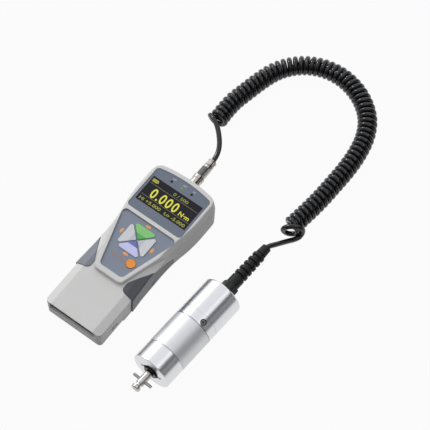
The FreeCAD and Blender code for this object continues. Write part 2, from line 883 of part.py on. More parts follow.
def front_cover():
    """Front half of the case: bezel, deck, windows, bosses, tail mouth and strap slot."""
    shell = case_outside().cut(case_inside())
    out = s.head_half * 2
    shell = shell.cut(block(-out, -out * 2, -1.0, out, out * 2, s.seam_level))
    below_roof = s.roof_under - s.case_wall
    for outline, seat in ((screen_outline, screen_seat()), (keypad_outline, keypad_seat())):
        shell = shell.cut(prism(outline(s.panel_fit, seat), s.bezel_top))
        shell = shell.cut(prism(outline(-s.panel_ledge, below_roof), s.bezel_top))
    inside = case_inside()
    for x, y, seated in screw_places():
        column = post(x, y, s.seam_level, s.deck_top, s.boss_dia / 2).common(inside)
        shell = shell.fuse(column)
    for x, y, seated in screw_places():
        shell = shell.cut(post(x, y, 0.0, seated + s.screw_bite + 1.0, s.screw_pilot / 2))
    for sign in (-1, 1):
        shell = shell.cut(grip_plan(sign, 0.0).cut(grip_core()))
    shell = shell.cut(bay_column(0.0, -s.tail_length - 1.0, s.case_wall + 2.0))
    shell = shell.cut(plate_column(s.plate_fit, s.head_length - s.case_wall * 2, s.case_wall * 3))
    shell = shell.cut(strap_slot())
    return drawn("front_cover", shell.removeSplitter())


def rear_case():
    """Back half of the case: floor with its step, posts, screw bosses and stand inserts' bosses."""
    out = s.head_half * 2
    below = block(-out, -out * 2, -1.0, out, out * 2, s.seam_level)
    outside = case_outside().common(below)
    inside = case_inside()
    floor = s.case_wall
    tail_floor = s.back_step + s.tail_floor
    hollow = inside.common(block(-out, -s.back_step_at + s.case_wall, floor, out, out * 2, s.seam_level))
    hollow = hollow.fuse(inside.common(block(-out, -out * 2, tail_floor, out, -s.back_step_at + s.case_wall + 1.0, s.seam_level)))
    shell = outside.cut(hollow)
    for x, y, seated in screw_places():
        shell = shell.fuse(post(x, y, seated, s.seam_level, s.boss_dia / 2).common(outside))
    for x, y in insert_places():
        shell = shell.fuse(post(x, y, floor / 2, s.insert_long + s.insert_cap, s.insert_boss / 2))
    for x, y in board_posts():
        shell = shell.fuse(post(x, y, floor / 2, s.main_board_level, s.post_dia / 2))
    for x, y, seated in screw_places():
        shell = shell.cut(post(x, y, -1.0, s.seam_level + 1.0, s.screw_hole / 2))
        shell = shell.cut(post(x, y, -1.0, seated, s.screw_head_hole / 2))
    for x, y in insert_places():
        shell = shell.cut(post(x, y, -1.0, s.insert_long, s.insert_dia / 2))
    for sign in (-1, 1):
        shell = shell.cut(grip_plan(sign, 0.0).cut(grip_core()))
    shell = shell.cut(plate_column(s.plate_fit, s.head_length - s.case_wall * 2, s.case_wall * 3))
    return drawn("rear_case", shell.removeSplitter())


def board_posts():
    """Places of the four posts that carry the main board."""
    return [(sign * s.post_x, y) for sign in (-1, 1) for y in (s.post_y, -s.post_tail_y)]


def screen_panel():
    """Printed screen panel with the display window and the three lamp holes."""
    level = screen_seat()
    panel = prism(screen_outline(0.0, level), s.panel_thick)
    half = s.window_wide / 2 + s.window_fit
    high = s.window_high / 2 + s.window_fit
    panel = panel.cut(block(-half, s.window_at - high, level - 1.0, half, s.window_at + high, s.bezel_top))
    for x in light_places():
        panel = panel.cut(post(x, s.light_at, level - 1.0, s.bezel_top, s.light_dia / 2 + s.panel_fit))
    return drawn("screen_panel", panel)


def light_places():
    return [step * s.light_pitch for step in (-1, 0, 1)]


def display_glass():
    """Display module behind the window, on its carrier board."""
    body = body_named("display_glass")
    sketch = new_sketch(body, "glass_plan", "XY_Plane")
    half = s.window_wide / 2
    high = s.window_high / 2
    sketch_polygon(sketch, rectangle(-half, s.window_at - high, half, s.window_at + high))
    pad(body, sketch, s.bezel_top - s.panel_sunk - s.window_sunk - s.roof_under)
    place(body, z=s.roof_under)
    return keep(body, "display_glass")


def display_board():
    """Carrier board of the display and lamps, hung under the roof of the cover."""
    body = body_named("display_board")
    sketch = new_sketch(body, "board_plan", "XY_Plane")
    half = s.screen_half - s.board_inset
    low = s.screen_bottom + s.board_inset
    high = s.light_at + s.light_dia
    neck = s.head_screw_x - s.boss_dia / 2 - s.key_gap
    waist = s.head_screw_y - s.boss_dia / 2 - s.key_gap
    sketch_polygon(sketch, [(-half, low), (half, low), (half, waist), (neck, waist), (neck, high),
                            (-neck, high), (-neck, waist), (-half, waist)])
    pad(body, sketch, s.board_thick)
    place(body, z=s.roof_under - s.board_thick)
    return keep(body, "display_board")


def status_lights():
    """Three light pipes that rise from the board through the screen panel."""
    top = s.bezel_top - s.panel_sunk
    pipes = [post(x, s.light_at, s.roof_under, top, s.light_dia / 2) for x in light_places()]
    return drawn("status_lights", Part.makeCompound(pipes))


def key_hole(grow, level, height, turn):
    """Column of one three-cornered key, larger all round by grow, turned about the key centre."""
    half = s.key_base_half + grow * s.key_side_share
    corners = [(-half, s.key_base + grow, s.key_corner + grow), (half, s.key_base + grow, s.key_corner + grow),
               (0.0, s.key_apex - grow * s.key_tip_share, s.key_corner / 2 + grow)]
    column = prism(rounded_wire(corners, level), height)
    column.rotate(Vector(0, 0, 0), Vector(0, 0, 1), turn)
    column.translate(Vector(0, s.keys_at, 0))
    return column


def keypad_panel():
    """Keypad panel with its four key holes and the power key's hole."""
    level = keypad_seat()
    panel = prism(keypad_outline(0.0, level), s.keypad_thick)
    for turn in (0, 90, 180, 270):
        panel = panel.cut(key_hole(s.key_gap, level - 1.0, s.keypad_thick + 2.0, turn))
    panel = panel.cut(post(s.power_x, -s.power_y, level - 1.0, s.bezel_top, s.power_dia / 2 + s.key_gap))
    return drawn("keypad_panel", panel)


def key_levels():
    """Top of a key, top of its flange and its underside."""
    flange_top = keypad_seat() - s.key_gap
    return s.bezel_top - s.keypad_sunk + s.key_proud, flange_top, flange_top - s.key_flange_thick


def arrow_key(label, turn):
    """A three-cornered key with a retaining foot that stays under the panel."""
    top, flange_top, under = key_levels()
    cap = key_hole(0.0, under, top - under, turn)
    cap = cap.makeFillet(s.key_edge, flat_edges(cap, top))
    half = s.key_foot_half
    foot = block(-half, s.key_foot_from, under, half, s.key_base + s.key_flange, flange_top)
    foot.rotate(Vector(0, 0, 0), Vector(0, 0, 1), turn)
    foot.translate(Vector(0, s.keys_at, 0))
    return drawn(label, cap.fuse(foot).removeSplitter())


def power_key():
    """Round power key with a retaining collar."""
    top, flange_top, under = key_levels()
    radius = s.power_dia / 2
    collar = radius + s.key_flange
    corners = [(0.0, under), (collar, under), (collar, flange_top), (radius, flange_top), (radius, top), (0.0, top)]
    body = turned("power_key", [(Size(0.0), height) if not r else (r, height) for r, height in corners])
    rounded(body, body.Tip, s.key_edge, ring_edge(float(top), float(radius)))
    place(body, x=s.power_x, y=-s.power_y)
    return keep(body, "power_key")


def switch_places():
    """Places of the dome switches: one under each key."""
    reach = s.dome_reach
    around = [(0.0, reach), (-reach, 0.0), (0.0, -reach), (reach, 0.0)]
    return [(x, s.keys_at + y) for x, y in around] + [(s.power_x, -s.power_y)]


def key_board():
    """Board under the keypad."""
    level = s.roof_under - s.board_thick
    board = prism(keypad_outline(-s.board_inset / 2, level), s.board_thick)
    return drawn("key_board", board)


def key_switches():
    """Five dome switches on the key board."""
    domes = [post(x, y, s.roof_under, s.roof_under + s.dome_high, s.dome_dia / 2) for x, y in switch_places()]
    return drawn("key_switches", Part.makeCompound(domes))


def main_board():
    """Main board on the rear case's posts, with its three large chips."""
    body = body_named("main_board")
    sketch = new_sketch(body, "main_plan", "XY_Plane")
    half = s.main_board_half
    sketch_polygon(sketch, rectangle(-half, -s.main_board_tail, half, s.main_board_head))
    pad(body, sketch, s.board_thick)
    chips = new_sketch(body, "chips_plan", "XY_Plane", s.board_thick)
    side = s.chip_side
    for step in (-2, 0, 2):
        low = side * step - side / 2
        sketch_polygon(chips, rectangle(-side / 2, low, side / 2, low + side))
    pad(body, chips, s.chip_high, "chips")
    place(body, z=s.main_board_level)
    return keep(body, "main_board")


def battery_pack():
    """Rechargeable pack on the floor of the rear case, between the stand inserts."""
    body = body_named("battery_pack")
    sketch = new_sketch(body, "battery_plan", "XY_Plane")
    wide = s.battery_wide / 2
    deep = s.battery_long / 2
    sketch_polygon(sketch, rectangle(-wide, -deep, wide, deep))
    solid = pad(body, sketch, s.battery_high)
    rounded(body, solid, s.battery_round, upright)
    place(body, z=s.case_wall)
    return keep(body, "battery_pack")


def grips():
    """Rubber grips let into both sides of the case."""
    drawn("grip_left", grip_shape(-1))
    drawn("grip_right", grip_shape(1))


def port_bay():
    """Tray behind the tail mouth: floor, roof, sides and the wall that holds the sockets."""
    start = -s.tail_length + s.case_wall
    reach = s.bay_deep - s.case_wall
    tray = bay_column(s.bay_wall, start, reach + s.bay_wall)
    tray = tray.cut(bay_column(0.0, start - 1.0, reach + 1.0))
    tray = tray.cut(over_deck(s.case_wall + s.bay_fit))
    wall_at = -s.tail_length + s.bay_deep
    for x, wide, high in ((s.usb_x, s.usb_wide, s.usb_high), (s.io_x, s.io_wide, s.io_high)):
        tray = tray.cut(socket_column(x, wide, high, s.bay_fit, wall_at - 1.0, s.bay_wall + 2.0))
    return drawn("port_bay", tray)


def socket_column(x, wide, high, grow, start, length):
    """A block along Y with the section of one tail socket."""
    return block(x - wide / 2 - grow, start, bay_level() - high / 2 - grow,
                 x + wide / 2 + grow, start + length, bay_level() + high / 2 + grow)


def tail_socket(label, x, wide, high):
    """One socket of the tail bay: a folded shell round a contact tongue."""
    front = -s.tail_length + s.bay_deep - s.socket_out
    shell = socket_column(x, wide, high, 0.0, front, s.socket_deep)
    hollow = socket_column(x, wide, high, -s.shell_thick, front - 1.0, s.socket_hollow)
    tongue = socket_column(x, wide - s.tongue_clear * 2, s.tongue_thick, 0.0, front + s.shell_thick, s.tongue_long)
    return drawn(label, shell.cut(hollow).fuse(tongue).removeSplitter())


def strap_bar():
    """Steel bar across the strap slot, let into the wall above and below it."""
    body = body_named("strap_bar")
    sketch = new_sketch(body, "bar_section", "XY_Plane")
    sketch_circle(sketch, Size(0.0), Size(0.0), s.strap_bar_dia / 2)
    pad(body, sketch, s.strap_high)
    place(body, x=s.tail_half - s.case_wall, y=-s.strap_at, z=s.strap_level - s.strap_high / 2)
    return keep(body, "strap_bar")


def case_screws():
    """Four screws that hold the rear case to the bosses of the front cover."""
    screws = []
    for x, y, seated in screw_places():
        head = post(x, y, seated - s.screw_head_high, seated, s.screw_head_dia / 2)
        thread = post(x, y, seated, s.seam_level, s.screw_dia / 2)
        bite = post(x, y, s.seam_level, seated + s.screw_bite, s.screw_pilot / 2)
        screws.append(head.fuse([thread, bite]).removeSplitter())
    return drawn("case_screws", Part.makeCompound(screws))


def mount_inserts():
    """Four threaded brass inserts in the back, for a test stand."""
    inserts = []
    for x, y in insert_places():
        sleeve = post(x, y, 0.0, s.insert_long, s.insert_dia / 2)
        inserts.append(sleeve.cut(post(x, y, -1.0, s.insert_long + 1.0, s.insert_bore / 2)))
    return drawn("mount_inserts", Part.makeCompound(inserts))


def connector_plate():
    """Plate in the head end that carries the sensor socket, a little proud of the case."""
    plate = plate_column(0.0, s.plate_front - s.plate_thick, s.plate_thick)
    start = Vector(0, s.plate_front - s.plate_thick - 1.0, s.plug_level)
    plate = plate.cut(Part.makeCylinder(s.socket_dia / 2, s.plate_thick + 2.0, start, Vector(0, 1, 0)))
    rim = [edge for edge in plate.Edges if edge.BoundBox.YMin > s.plate_front - 1e-4 and edge.BoundBox.XLength > 0]
    rim = [edge for edge in rim if not (isinstance(edge.Curve, Part.Circle) and edge.Closed)]
    return drawn("connector_plate", plate.makeFillet(s.plate_edge, rim))


ALONG_Y = Rotation(Vector(1, 0, 0), -90)


def sensor_socket():
    """Panel socket for the sensor's plug: threaded barrel with a flange outside the plate."""
    radius = s.socket_dia / 2
    bore = s.socket_bore / 2
    front = s.plate_front + s.flange_thick
    flange = s.flange_dia / 2
    tail = s.socket_tail_dia / 2
    zero = Size(0.0)
    body = turned("sensor_socket", [
        (zero, s.socket_back), (tail, s.socket_back), (tail, s.socket_back + s.socket_tail_long),
        (radius, s.socket_back + s.socket_tail_long), (radius, s.plate_front), (flange, s.plate_front), (flange, front),
        (bore, front), (bore, front - s.socket_bore_deep), (zero, front - s.socket_bore_deep)])
    place(body, z=s.plug_level, rotation=ALONG_Y)
    return keep(body, "sensor_socket")


def hexagon(flats, level):
    """Hexagonal wire about Z with the given width across flats."""
    corner = flats / math.sqrt(3)
    points = [Vector(corner * math.cos(math.radians(60 * k)), corner * math.sin(math.radians(60 * k)), level)
              for k in range(7)]
    return Part.makePolygon(points)


def socket_nut():
    """Hexagonal nut that clamps the sensor socket from inside."""
    nut = prism(hexagon(s.nut_flats, 0.0), s.nut_thick)
    nut = nut.cut(post(0, 0, -1.0, s.nut_thick + 1.0, s.socket_dia / 2))
    nut.rotate(Vector(0, 0, 0), Vector(1, 0, 0), -90)
    nut.translate(Vector(0, s.plate_front - s.plate_thick - s.nut_thick, s.plug_level))
    return drawn("socket_nut", nut)


def plug_face():
    """Where the sleeve starts, just outside the socket's flange."""
    return s.plate_front + s.flange_thick + s.sleeve_gap


def plug_body():
    """Plug: nose in the socket, slim middle under the sleeve, knurled rear with two flats."""
    nose = s.plug_nose_dia / 2
    rear = s.plug_rear_dia / 2
    start = s.plate_front + s.flange_thick - s.socket_bore_deep + 1.0
    rear_from = plug_face() + s.sleeve_long - s.sleeve_overlap + s.sleeve_travel + s.sleeve_gap
    zero = Size(0.0)
    hollow = nose - 0.8
    body = turned("plug_body", [
        (hollow, start), (nose, start), (nose, rear_from), (rear, rear_from), (rear, s.plug_rear_end),
        (zero, s.plug_rear_end), (zero, start + s.pin_reach + 1.0), (hollow, start + s.pin_reach + 1.0)])
    place(body, z=s.plug_level, rotation=ALONG_Y)
    return keep(body, "plug_body")


def plug_lock_sleeve():
    """Ribbed sleeve that is pulled back to release the plug."""
    start = plug_face()
    end = start + s.sleeve_long
    step = end - s.sleeve_overlap
    outer = s.sleeve_dia / 2
    near = s.plug_nose_dia / 2 + s.sleeve_fit
    far = s.plug_rear_dia / 2 + s.sleeve_fit
    waist = outer - 0.35
    body = turned("plug_lock_sleeve", [
        (near, start), (outer, start), (outer, start + 3.0), (waist, start + 3.4), (waist, step - 0.4),
        (outer, step), (outer, end), (far, end), (far, step), (near, step)])
    place(body, z=s.plug_level, rotation=ALONG_Y)
    return keep(body, "plug_lock_sleeve")


def plug_clamp_nut():
    """Nut that clamps the cable at the end of the plug."""
    radius = s.clamp_nut_dia / 2
    end = s.plug_rear_end + s.clamp_nut_long
    zero = Size(0.0)
    body = turned("plug_clamp_nut", [
        (zero, s.plug_rear_end), (radius, s.plug_rear_end), (radius, end - 1.0), (radius - 0.8, end), (zero, end)])
    place(body, z=s.plug_level, rotation=ALONG_Y)
    return keep(body, "plug_clamp_nut")


def plug_pins():
    """Six contact pins in the plug's hollow nose."""
    back = s.plate_front + s.flange_thick - s.socket_bore_deep + 2.0 + s.pin_reach
    pins = []
    for index in range(6):
        angle = math.radians(60 * index)
        start = Vector(s.pin_circle / 2 * math.cos(angle), back - s.pin_reach, s.plug_level + s.pin_circle / 2 * math.sin(angle))
        pins.append(Part.makeCylinder(s.pin_dia / 2, s.pin_reach, start, Vector(0, 1, 0)))
    return drawn("plug_pins", Part.makeCompound(pins))


# The torque sensor: every piece is turned about the sensor's axis, measured from its front face

def sensor_spot(along):
    """A point on the sensor's axis, which points slightly away from the display unit."""
    turn = math.radians(s.sensor_turn)
    return s.sensor_x + along * math.sin(turn), s.sensor_y + along * math.cos(turn), s.sensor_dia / 2


def on_sensor_axis(body):
    """Lays a body's own Z along the sensor's axis, its zero on the front face."""
    return place(body, x=s.sensor_x, y=s.sensor_y, z=s.sensor_dia / 2, rotation=sensor_rotation())


def sensor_rotation():
    return Rotation(Vector(0, 0, 1), -s.sensor_turn).multiply(Rotation(Vector(1, 0, 0), -90))


def sensor_shape(shape):
    """The same for a plain shape drawn about Z."""
    shape.Placement = Placement(Vector(s.sensor_x, s.sensor_y, s.sensor_dia / 2), sensor_rotation()).multiply(shape.Placement)
    return shape


def bearing_seat_end():
    return s.bearing_at + s.bearing_wide


def sensor_front_cap():
    """Front cap: nose recess, screw holes and the bearing's seat."""
    radius = s.sensor_dia / 2
    recess = s.nose_recess_dia / 2
    seat = s.bearing_dia / 2
    throat = s.collar_dia / 2 + s.seal_bore_gap * 2
    end = s.front_cap_long
    spigot = radius - s.cap_wall / 2
    body = turned("sensor_front_cap", [
        (recess, Size(0.0)), (radius, Size(0.0)), (radius, end), (spigot, end), (spigot, end + s.spigot_long),
        (seat, end + s.spigot_long), (seat, s.bearing_at), (throat, s.bearing_at),
        (throat, s.nose_recess_deep), (recess, s.nose_recess_deep)])
    rounded(body, body.Tip, s.front_edge, ring_edge(0.0, float(radius)))
    holes = new_sketch(body, "screw_circle", "XY_Plane")
    for index in range(int(s.nose_screw_count)):
        angle = 2 * math.pi * index / int(s.nose_screw_count)
        sketch_circle(holes, s.nose_screw_circle * math.cos(angle), s.nose_screw_circle * math.sin(angle),
                      s.nose_screw_dia / 2)
    pocket(body, holes, s.nose_screw_long, "screw_holes", True)
    on_sensor_axis(body)
    return keep(body, "sensor_front_cap")


def nose_screws():
    """Screws in the front face, with their sockets."""
    screws = []
    for index in range(int(s.nose_screw_count)):
        angle = 2 * math.pi * index / int(s.nose_screw_count)
        x = s.nose_screw_circle * math.cos(angle)
        y = s.nose_screw_circle * math.sin(angle)
        screw = post(x, y, -s.nose_screw_proud, s.nose_screw_long, s.nose_screw_dia / 2)
        key = prism(hexagon(s.nose_screw_key, -s.nose_screw_key_deep), s.nose_screw_key_deep * 2)
        key.translate(Vector(x, y, 0))
        screws.append(sensor_shape(screw.cut(key)))
    return drawn("nose_screws", Part.makeCompound(screws))


def nose_seal():
    """Rubber dust seal in the nose recess, close round the shaft's collar."""
    inner = s.collar_dia / 2 + s.seal_bore_gap
    outer = s.nose_recess_dia / 2
    body = turned("nose_seal", [
        (inner, s.seal_sunk), (outer, s.seal_sunk), (outer, s.nose_recess_deep), (inner, s.nose_recess_deep)])
    on_sensor_axis(body)
    return keep(body, "nose_seal")


def sensor_grip_sleeve():
    """Middle sleeve with the fine satin grip, flush with both caps."""
    outer = s.sensor_dia / 2
    inner = s.sensor_dia / 2 - s.cap_wall / 2
    bevel = s.sleeve_bevel
    front = s.front_cap_long
    back = s.rear_cap_at
    body = turned("sensor_grip_sleeve", [
        (inner, front), (outer - bevel, front), (outer, front + bevel), (outer, back - bevel),
        (outer - bevel, back), (inner, back)])
    on_sensor_axis(body)
    return keep(body, "sensor_grip_sleeve")


def sensor_rear_cap():
    """Rear cap: spigot, fine groove, flange seat for the torsion bar and the cable hole."""
    radius = s.sensor_dia / 2
    spigot = radius - s.cap_wall / 2
    bore = radius - s.cap_wall
    cable = s.cable_dia / 2 + 1.0
    ledge = s.torsion_flange / 2 - 3.0
    back = s.torsion_end
    deep = s.groove_deep
    body = turned("sensor_rear_cap", [
        (bore, s.rear_cap_at - s.spigot_long), (spigot, s.rear_cap_at - s.spigot_long), (spigot, s.rear_cap_at),
        (radius, s.rear_cap_at), (radius, s.groove_at), (radius - deep, s.groove_at),
        (radius - deep, s.groove_at + s.groove_wide), (radius, s.groove_at + s.groove_wide),
        (radius, s.sensor_long), (cable, s.sensor_long), (cable, s.sensor_long - s.cap_wall),
        (bore, s.sensor_long - s.cap_wall), (bore, back + 2.0), (ledge, back + 2.0), (ledge, back), (bore, back)])
    rounded(body, body.Tip, s.rear_round, ring_edge(float(s.sensor_long), float(radius)))
    well = new_sketch(body, "clamp_well", "YZ_Plane", radius - s.cap_wall * 2)
    sketch_circle(well, Size(0.0), s.clamp_screw_at, s.clamp_recess_dia / 2)
    pocket(body, well, s.cap_wall * 4, "clamp_hole", True)
    on_sensor_axis(body)
    body.Placement = body.Placement.multiply(Placement(Vector(), Rotation(Vector(0, 0, 1), clamp_angle())))
    return keep(body, "sensor_rear_cap")


def clamp_angle():
    """Turn about the sensor's axis that brings the clamp screw to its place beside the top."""
    return s.clamp_screw_turn - 90.0


def clamp_screw():
    """Socket screw in the rear cap that clamps the measuring element."""
    radius = s.sensor_dia / 2
    top = radius - s.clamp_recess_deep
    ring = Part.makeCylinder(s.clamp_recess_dia / 2, s.cap_wall - s.clamp_recess_deep,
                             Vector(radius - s.cap_wall, 0, s.clamp_screw_at), Vector(1, 0, 0))
    head = Part.makeCylinder(s.clamp_screw_dia / 2, 0.5, Vector(top, 0, s.clamp_screw_at), Vector(1, 0, 0))
    key = prism(hexagon(s.hex_key, -1.4), 4.0)
    key.rotate(Vector(0, 0, 0), Vector(0, 1, 0), 90)
    key.translate(Vector(top, 0, s.clamp_screw_at))
    screw = ring.fuse(head).cut(key)
    screw.rotate(Vector(0, 0, 0), Vector(0, 0, 1), clamp_angle())
    return drawn("clamp_screw", sensor_shape(screw.removeSplitter()))


def ball_circle():
    """Radius of the circle through the balls' centres."""
    return s.bearing_dia / 2 - s.race_wall - s.ball_dia / 2


def bearing_race(label, inner, outer):
    """One race of the ball bearing, with its groove."""
    middle = s.bearing_at + s.bearing_wide / 2
    groove = Part.makeTorus(ball_circle(), s.ball_dia / 2 + s.ball_gap, Vector(0, 0, middle), Vector(0, 0, 1))
    start = Vector(0, 0, s.bearing_at)
    race = Part.makeCylinder(outer, s.bearing_wide, start).cut(Part.makeCylinder(inner, s.bearing_wide, start))
    return drawn(label, sensor_shape(race.cut(groove)))


def bearing():
    """Front ball bearing: outer race in the cap, inner race on the shaft, balls between."""
    outer = s.bearing_dia / 2
    bearing_race("bearing_outer_race", ball_circle() + s.race_cover, outer)
    bearing_race("bearing_inner_race", s.journal_dia / 2, ball_circle() - s.race_cover)
    middle = s.bearing_at + s.bearing_wide / 2
    balls = []
    for index in range(int(s.ball_count)):
        angle = 2 * math.pi * index / int(s.ball_count)
        centre = Vector(ball_circle() * math.cos(angle), ball_circle() * math.sin(angle), middle)
        balls.append(sensor_shape(Part.makeSphere(s.ball_dia / 2, centre)))
    return drawn("bearing_balls", Part.makeCompound(balls))


def torque_shaft():
    """Input shaft: journal in the bearing, collar, slim nose, neck and drive knob."""
    zero = Size(0.0)
    slim = s.shaft_dia / 2
    neck = s.neck_dia / 2
    knob = s.tip_dia / 2
    journal = s.journal_dia / 2
    bore = s.shaft_bore / 2
    collar = s.collar_dia / 2
    body = turned("torque_shaft", [
        (zero, -s.tip_reach), (knob - s.tip_bevel, -s.tip_reach), (knob, -s.tip_reach + s.tip_bevel),
        (knob, -s.tip_reach + s.tip_long - s.tip_bevel), (knob - s.tip_bevel, -s.tip_reach + s.tip_long),
        (neck, -s.tip_reach + s.tip_long), (neck, -s.tip_reach + s.tip_long + s.neck_long),
        (slim, -s.tip_reach + s.tip_long + s.neck_long), (slim, -s.collar_out), (collar, -s.collar_out),
        (collar, s.bearing_at - s.seal_sunk), (journal, s.bearing_at - s.seal_sunk), (journal, s.shaft_back),
        (bore, s.shaft_back), (bore, s.shaft_back - s.shaft_bore_deep), (zero, s.shaft_back - s.shaft_bore_deep)])
    hole = new_sketch(body, "pin_hole", "YZ_Plane", -s.tip_dia)
    sketch_circle(hole, Size(0.0), -s.pin_at, s.cross_pin_dia / 2)
    pocket(body, hole, s.tip_dia * 2, "pin_bore", True)
    on_sensor_axis(body)
    return keep(body, "torque_shaft")


def cross_pin():
    """Drive pin pressed across the shaft's nose."""
    radius = s.cross_pin_dia / 2
    half = s.cross_pin_long / 2
    bevel = s.cross_pin_bevel
    zero = Size(0.0)
    body = turned("cross_pin", [
        (zero, -half), (radius - bevel, -half), (radius, -half + bevel), (radius, half - bevel),
        (radius - bevel, half), (zero, half)])
    x, y, z = sensor_spot(-s.pin_at)
    across = Rotation(Vector(0, 0, 1), -s.sensor_turn).multiply(Rotation(Vector(0, 1, 0), 90))
    place(body, x=x, y=y, z=z, rotation=across)
    return keep(body, "cross_pin")


def torsion_bar():
    """Measuring element: spigot in the shaft, flatted middle and a flange on the rear cap's ledge."""
    zero = Size(0.0)
    spigot = s.shaft_bore / 2 - s.running_fit
    middle = s.torsion_dia / 2
    flange = s.torsion_flange / 2
    back = s.torsion_end
    body = turned("torsion_bar", [
        (zero, s.shaft_back - s.shaft_bore_deep + 0.3), (spigot, s.shaft_back - s.shaft_bore_deep + 0.3),
        (spigot, s.shaft_back + 0.5), (middle, s.shaft_back + 0.5), (middle, back - s.torsion_flange_thick),
        (flange, back - s.torsion_flange_thick), (flange, back), (zero, back)])
    flats = new_sketch(body, "flats", "XZ_Plane", -s.torsion_dia)
    half = s.torsion_flat / 2
    low = gauge_middle() - s.gauge_long
    high = gauge_middle() + s.gauge_long
    wide = s.torsion_dia
    sketch_polygon(flats, rectangle(half, low, wide, high))
    sketch_polygon(flats, rectangle(-wide, low, -half, high))
    pocket(body, flats, s.torsion_dia * 2, "flats_cut", True)
    on_sensor_axis(body)
    return keep(body, "torsion_bar")


def gauge_middle():
    """Where the strain gauges sit, half way along the torsion bar's plain stretch."""
    return (s.shaft_back + s.torsion_end - s.torsion_flange_thick) / 2


def strain_gauges():
    """Two foil gauges, one bonded to each flat of the torsion bar."""
    half = s.torsion_flat / 2
    wide = s.gauge_wide / 2
    low = gauge_middle() - s.gauge_long / 2
    foils = []
    for x_low, x_high in ((half, half + s.gauge_thick), (-half - s.gauge_thick, -half)):
        foils.append(sensor_shape(block(x_low, -wide, low, x_high, wide, low + s.gauge_long)))
    return drawn("strain_gauges", Part.makeCompound(foils))


def sensor_board():
    """Round amplifier board against the inner face of the rear cap's ledge."""
    radius = s.sensor_board_dia / 2
    zero = Size(0.0)
    start = s.torsion_end + 2.0
    body = turned("sensor_board", [
        (zero, start), (radius, start), (radius, start + s.board_thick), (zero, start + s.board_thick)])
    on_sensor_axis(body)
    return keep(body, "sensor_board")


def cable_gland():
    """Gland on the sensor's rear face, with flats for a spanner."""
    start = s.sensor_long
    radius = s.gland_dia / 2
    gland = post(0, 0, start, start + s.gland_long, radius).common(
        prism(hexagon(s.gland_flats, start), s.gland_long))
    return drawn("cable_gland", sensor_shape(gland))


def strain_relief_boot():
    """Ribbed rubber boot round the cable behind the sensor."""
    zero = Size(0.0)
    start = s.sensor_long
    core = s.boot_core_dia / 2
    root = s.boot_root_dia / 2
    profile = [(zero, start + s.gland_long), (root, start + s.gland_long), (root, start + s.boot_root_end - 0.6),
               (root - 0.6, start + s.boot_root_end), (core, start + s.boot_root_end)]
    for index in range(int(s.boot_ribs)):
        middle = start + s.boot_rib_at + s.boot_rib_pitch * index
        rib = (s.boot_rib_dia - s.boot_rib_drop * index) / 2
        half = s.boot_rib_wide / 2
        profile += [(core, middle - half), (rib - 0.4, middle - half), (rib, middle - half + 0.4),
                    (rib, middle + half - 0.4), (rib - 0.4, middle + half), (core, middle + half)]
    collar = s.boot_collar_dia / 2
    profile += [(core, start + s.boot_collar_at), (collar, start + s.boot_collar_at),
                (collar - 0.5, start + s.boot_end), (zero, start + s.boot_end)]
    body = turned("strain_relief_boot", profile)
    on_sensor_axis(body)
    return keep(body, "strain_relief_boot")


# The cable's plain solids

def route(points, name):
    """Straight runs joined by tangent arcs, each as large as its two runs allow."""
    spots = [Vector(*point) for point in points]
    edges = []
    start = spots[0]
    radii = []
    for before, here, after in zip(spots, spots[1:], spots[2:]):
        back = before - here
        ahead = after - here
        reach = 0.45 * min(back.Length, ahead.Length)
        back.normalize()
        ahead.normalize()
        half = back.getAngle(ahead) / 2
        radius = reach * math.tan(half)
        middle = back + ahead
        middle.normalize()
        arc_middle = here + middle * (radius / math.sin(half) - radius)
        edges.append(Part.LineSegment(start, here + back * reach).toShape())
        edges.append(Part.Arc(here + back * reach, arc_middle, here + ahead * reach).toShape())
        start = here + ahead * reach
        radii.append(radius)
    edges.append(Part.LineSegment(start, spots[-1]).toShape())
    print(name, "radii", " ".join("%.0f" % radius for radius in radii))
    return Part.Wire(edges)


def tube(label, points, diameter):
    """A plain round solid along a route."""
    path = route(points, label)
    start = Vector(*points[0])
    ahead = Vector(*points[1]) - start
    section = Part.Wire([Part.makeCircle(diameter / 2, start, ahead)])
    solid = path.makePipeShell([section], True, False)
    ideal = math.pi * diameter ** 2 / 4 * path.Length
    print(label, "length %.1f volume ratio %.4f" % (path.Length, solid.Volume / ideal))
    return drawn(label, solid)


def cable():
    """The cable: a lead from the plug, the coil as one fat round, and a lead to the sensor."""
    plug_exit = (0.0, s.plug_rear_end + s.clamp_nut_long, s.plug_level)
    tube("cord_lead_plug", [plug_exit] + LEAD_FROM_PLUG, s.cable_dia)
    tube("cord_coil", [(x, y, s.coil_level) for x, y in COIL], s.coil_dia)
    tube("cord_lead_sensor", LEAD_TO_SENSOR + [sensor_spot(s.sensor_long + s.boot_end)], s.cable_dia)


rear_case()
front_cover()
screen_panel()
display_glass()
display_board()
status_lights()
keypad_panel()
arrow_key("zero_key", 0)
arrow_key("left_key", 90)
arrow_key("menu_key", 180)
arrow_key("right_key", 270)
power_key()
key_board()
key_switches()
grips()
main_board()
battery_pack()
port_bay()
tail_socket("usb_socket", s.usb_x, s.usb_wide, s.usb_high)
tail_socket("io_socket", s.io_x, s.io_wide, s.io_high)
strap_bar()
case_screws()
mount_inserts()
connector_plate()
sensor_socket()
socket_nut()
plug_body()
plug_lock_sleeve()
plug_clamp_nut()
plug_pins()
sensor_front_cap()
nose_screws()
nose_seal()
sensor_grip_sleeve()
sensor_rear_cap()
clamp_screw()
bearing()
torque_shaft()
cross_pin()
torsion_bar()
strain_gauges()
sensor_board()
cable_gland()
strain_relief_boot()
cable()
doc.recompute()

for item in doc.Objects:
    if "Invalid" in item.State or "Error" in item.State:
        raise RuntimeError("%s failed: %s" % (item.Label, item.State))
for part in nodes:
    if part.Shape.isNull() or not part.Shape.isValid() or part.Shape.Volume <= 0:
        raise RuntimeError("%s has no valid shape" % part.Label)

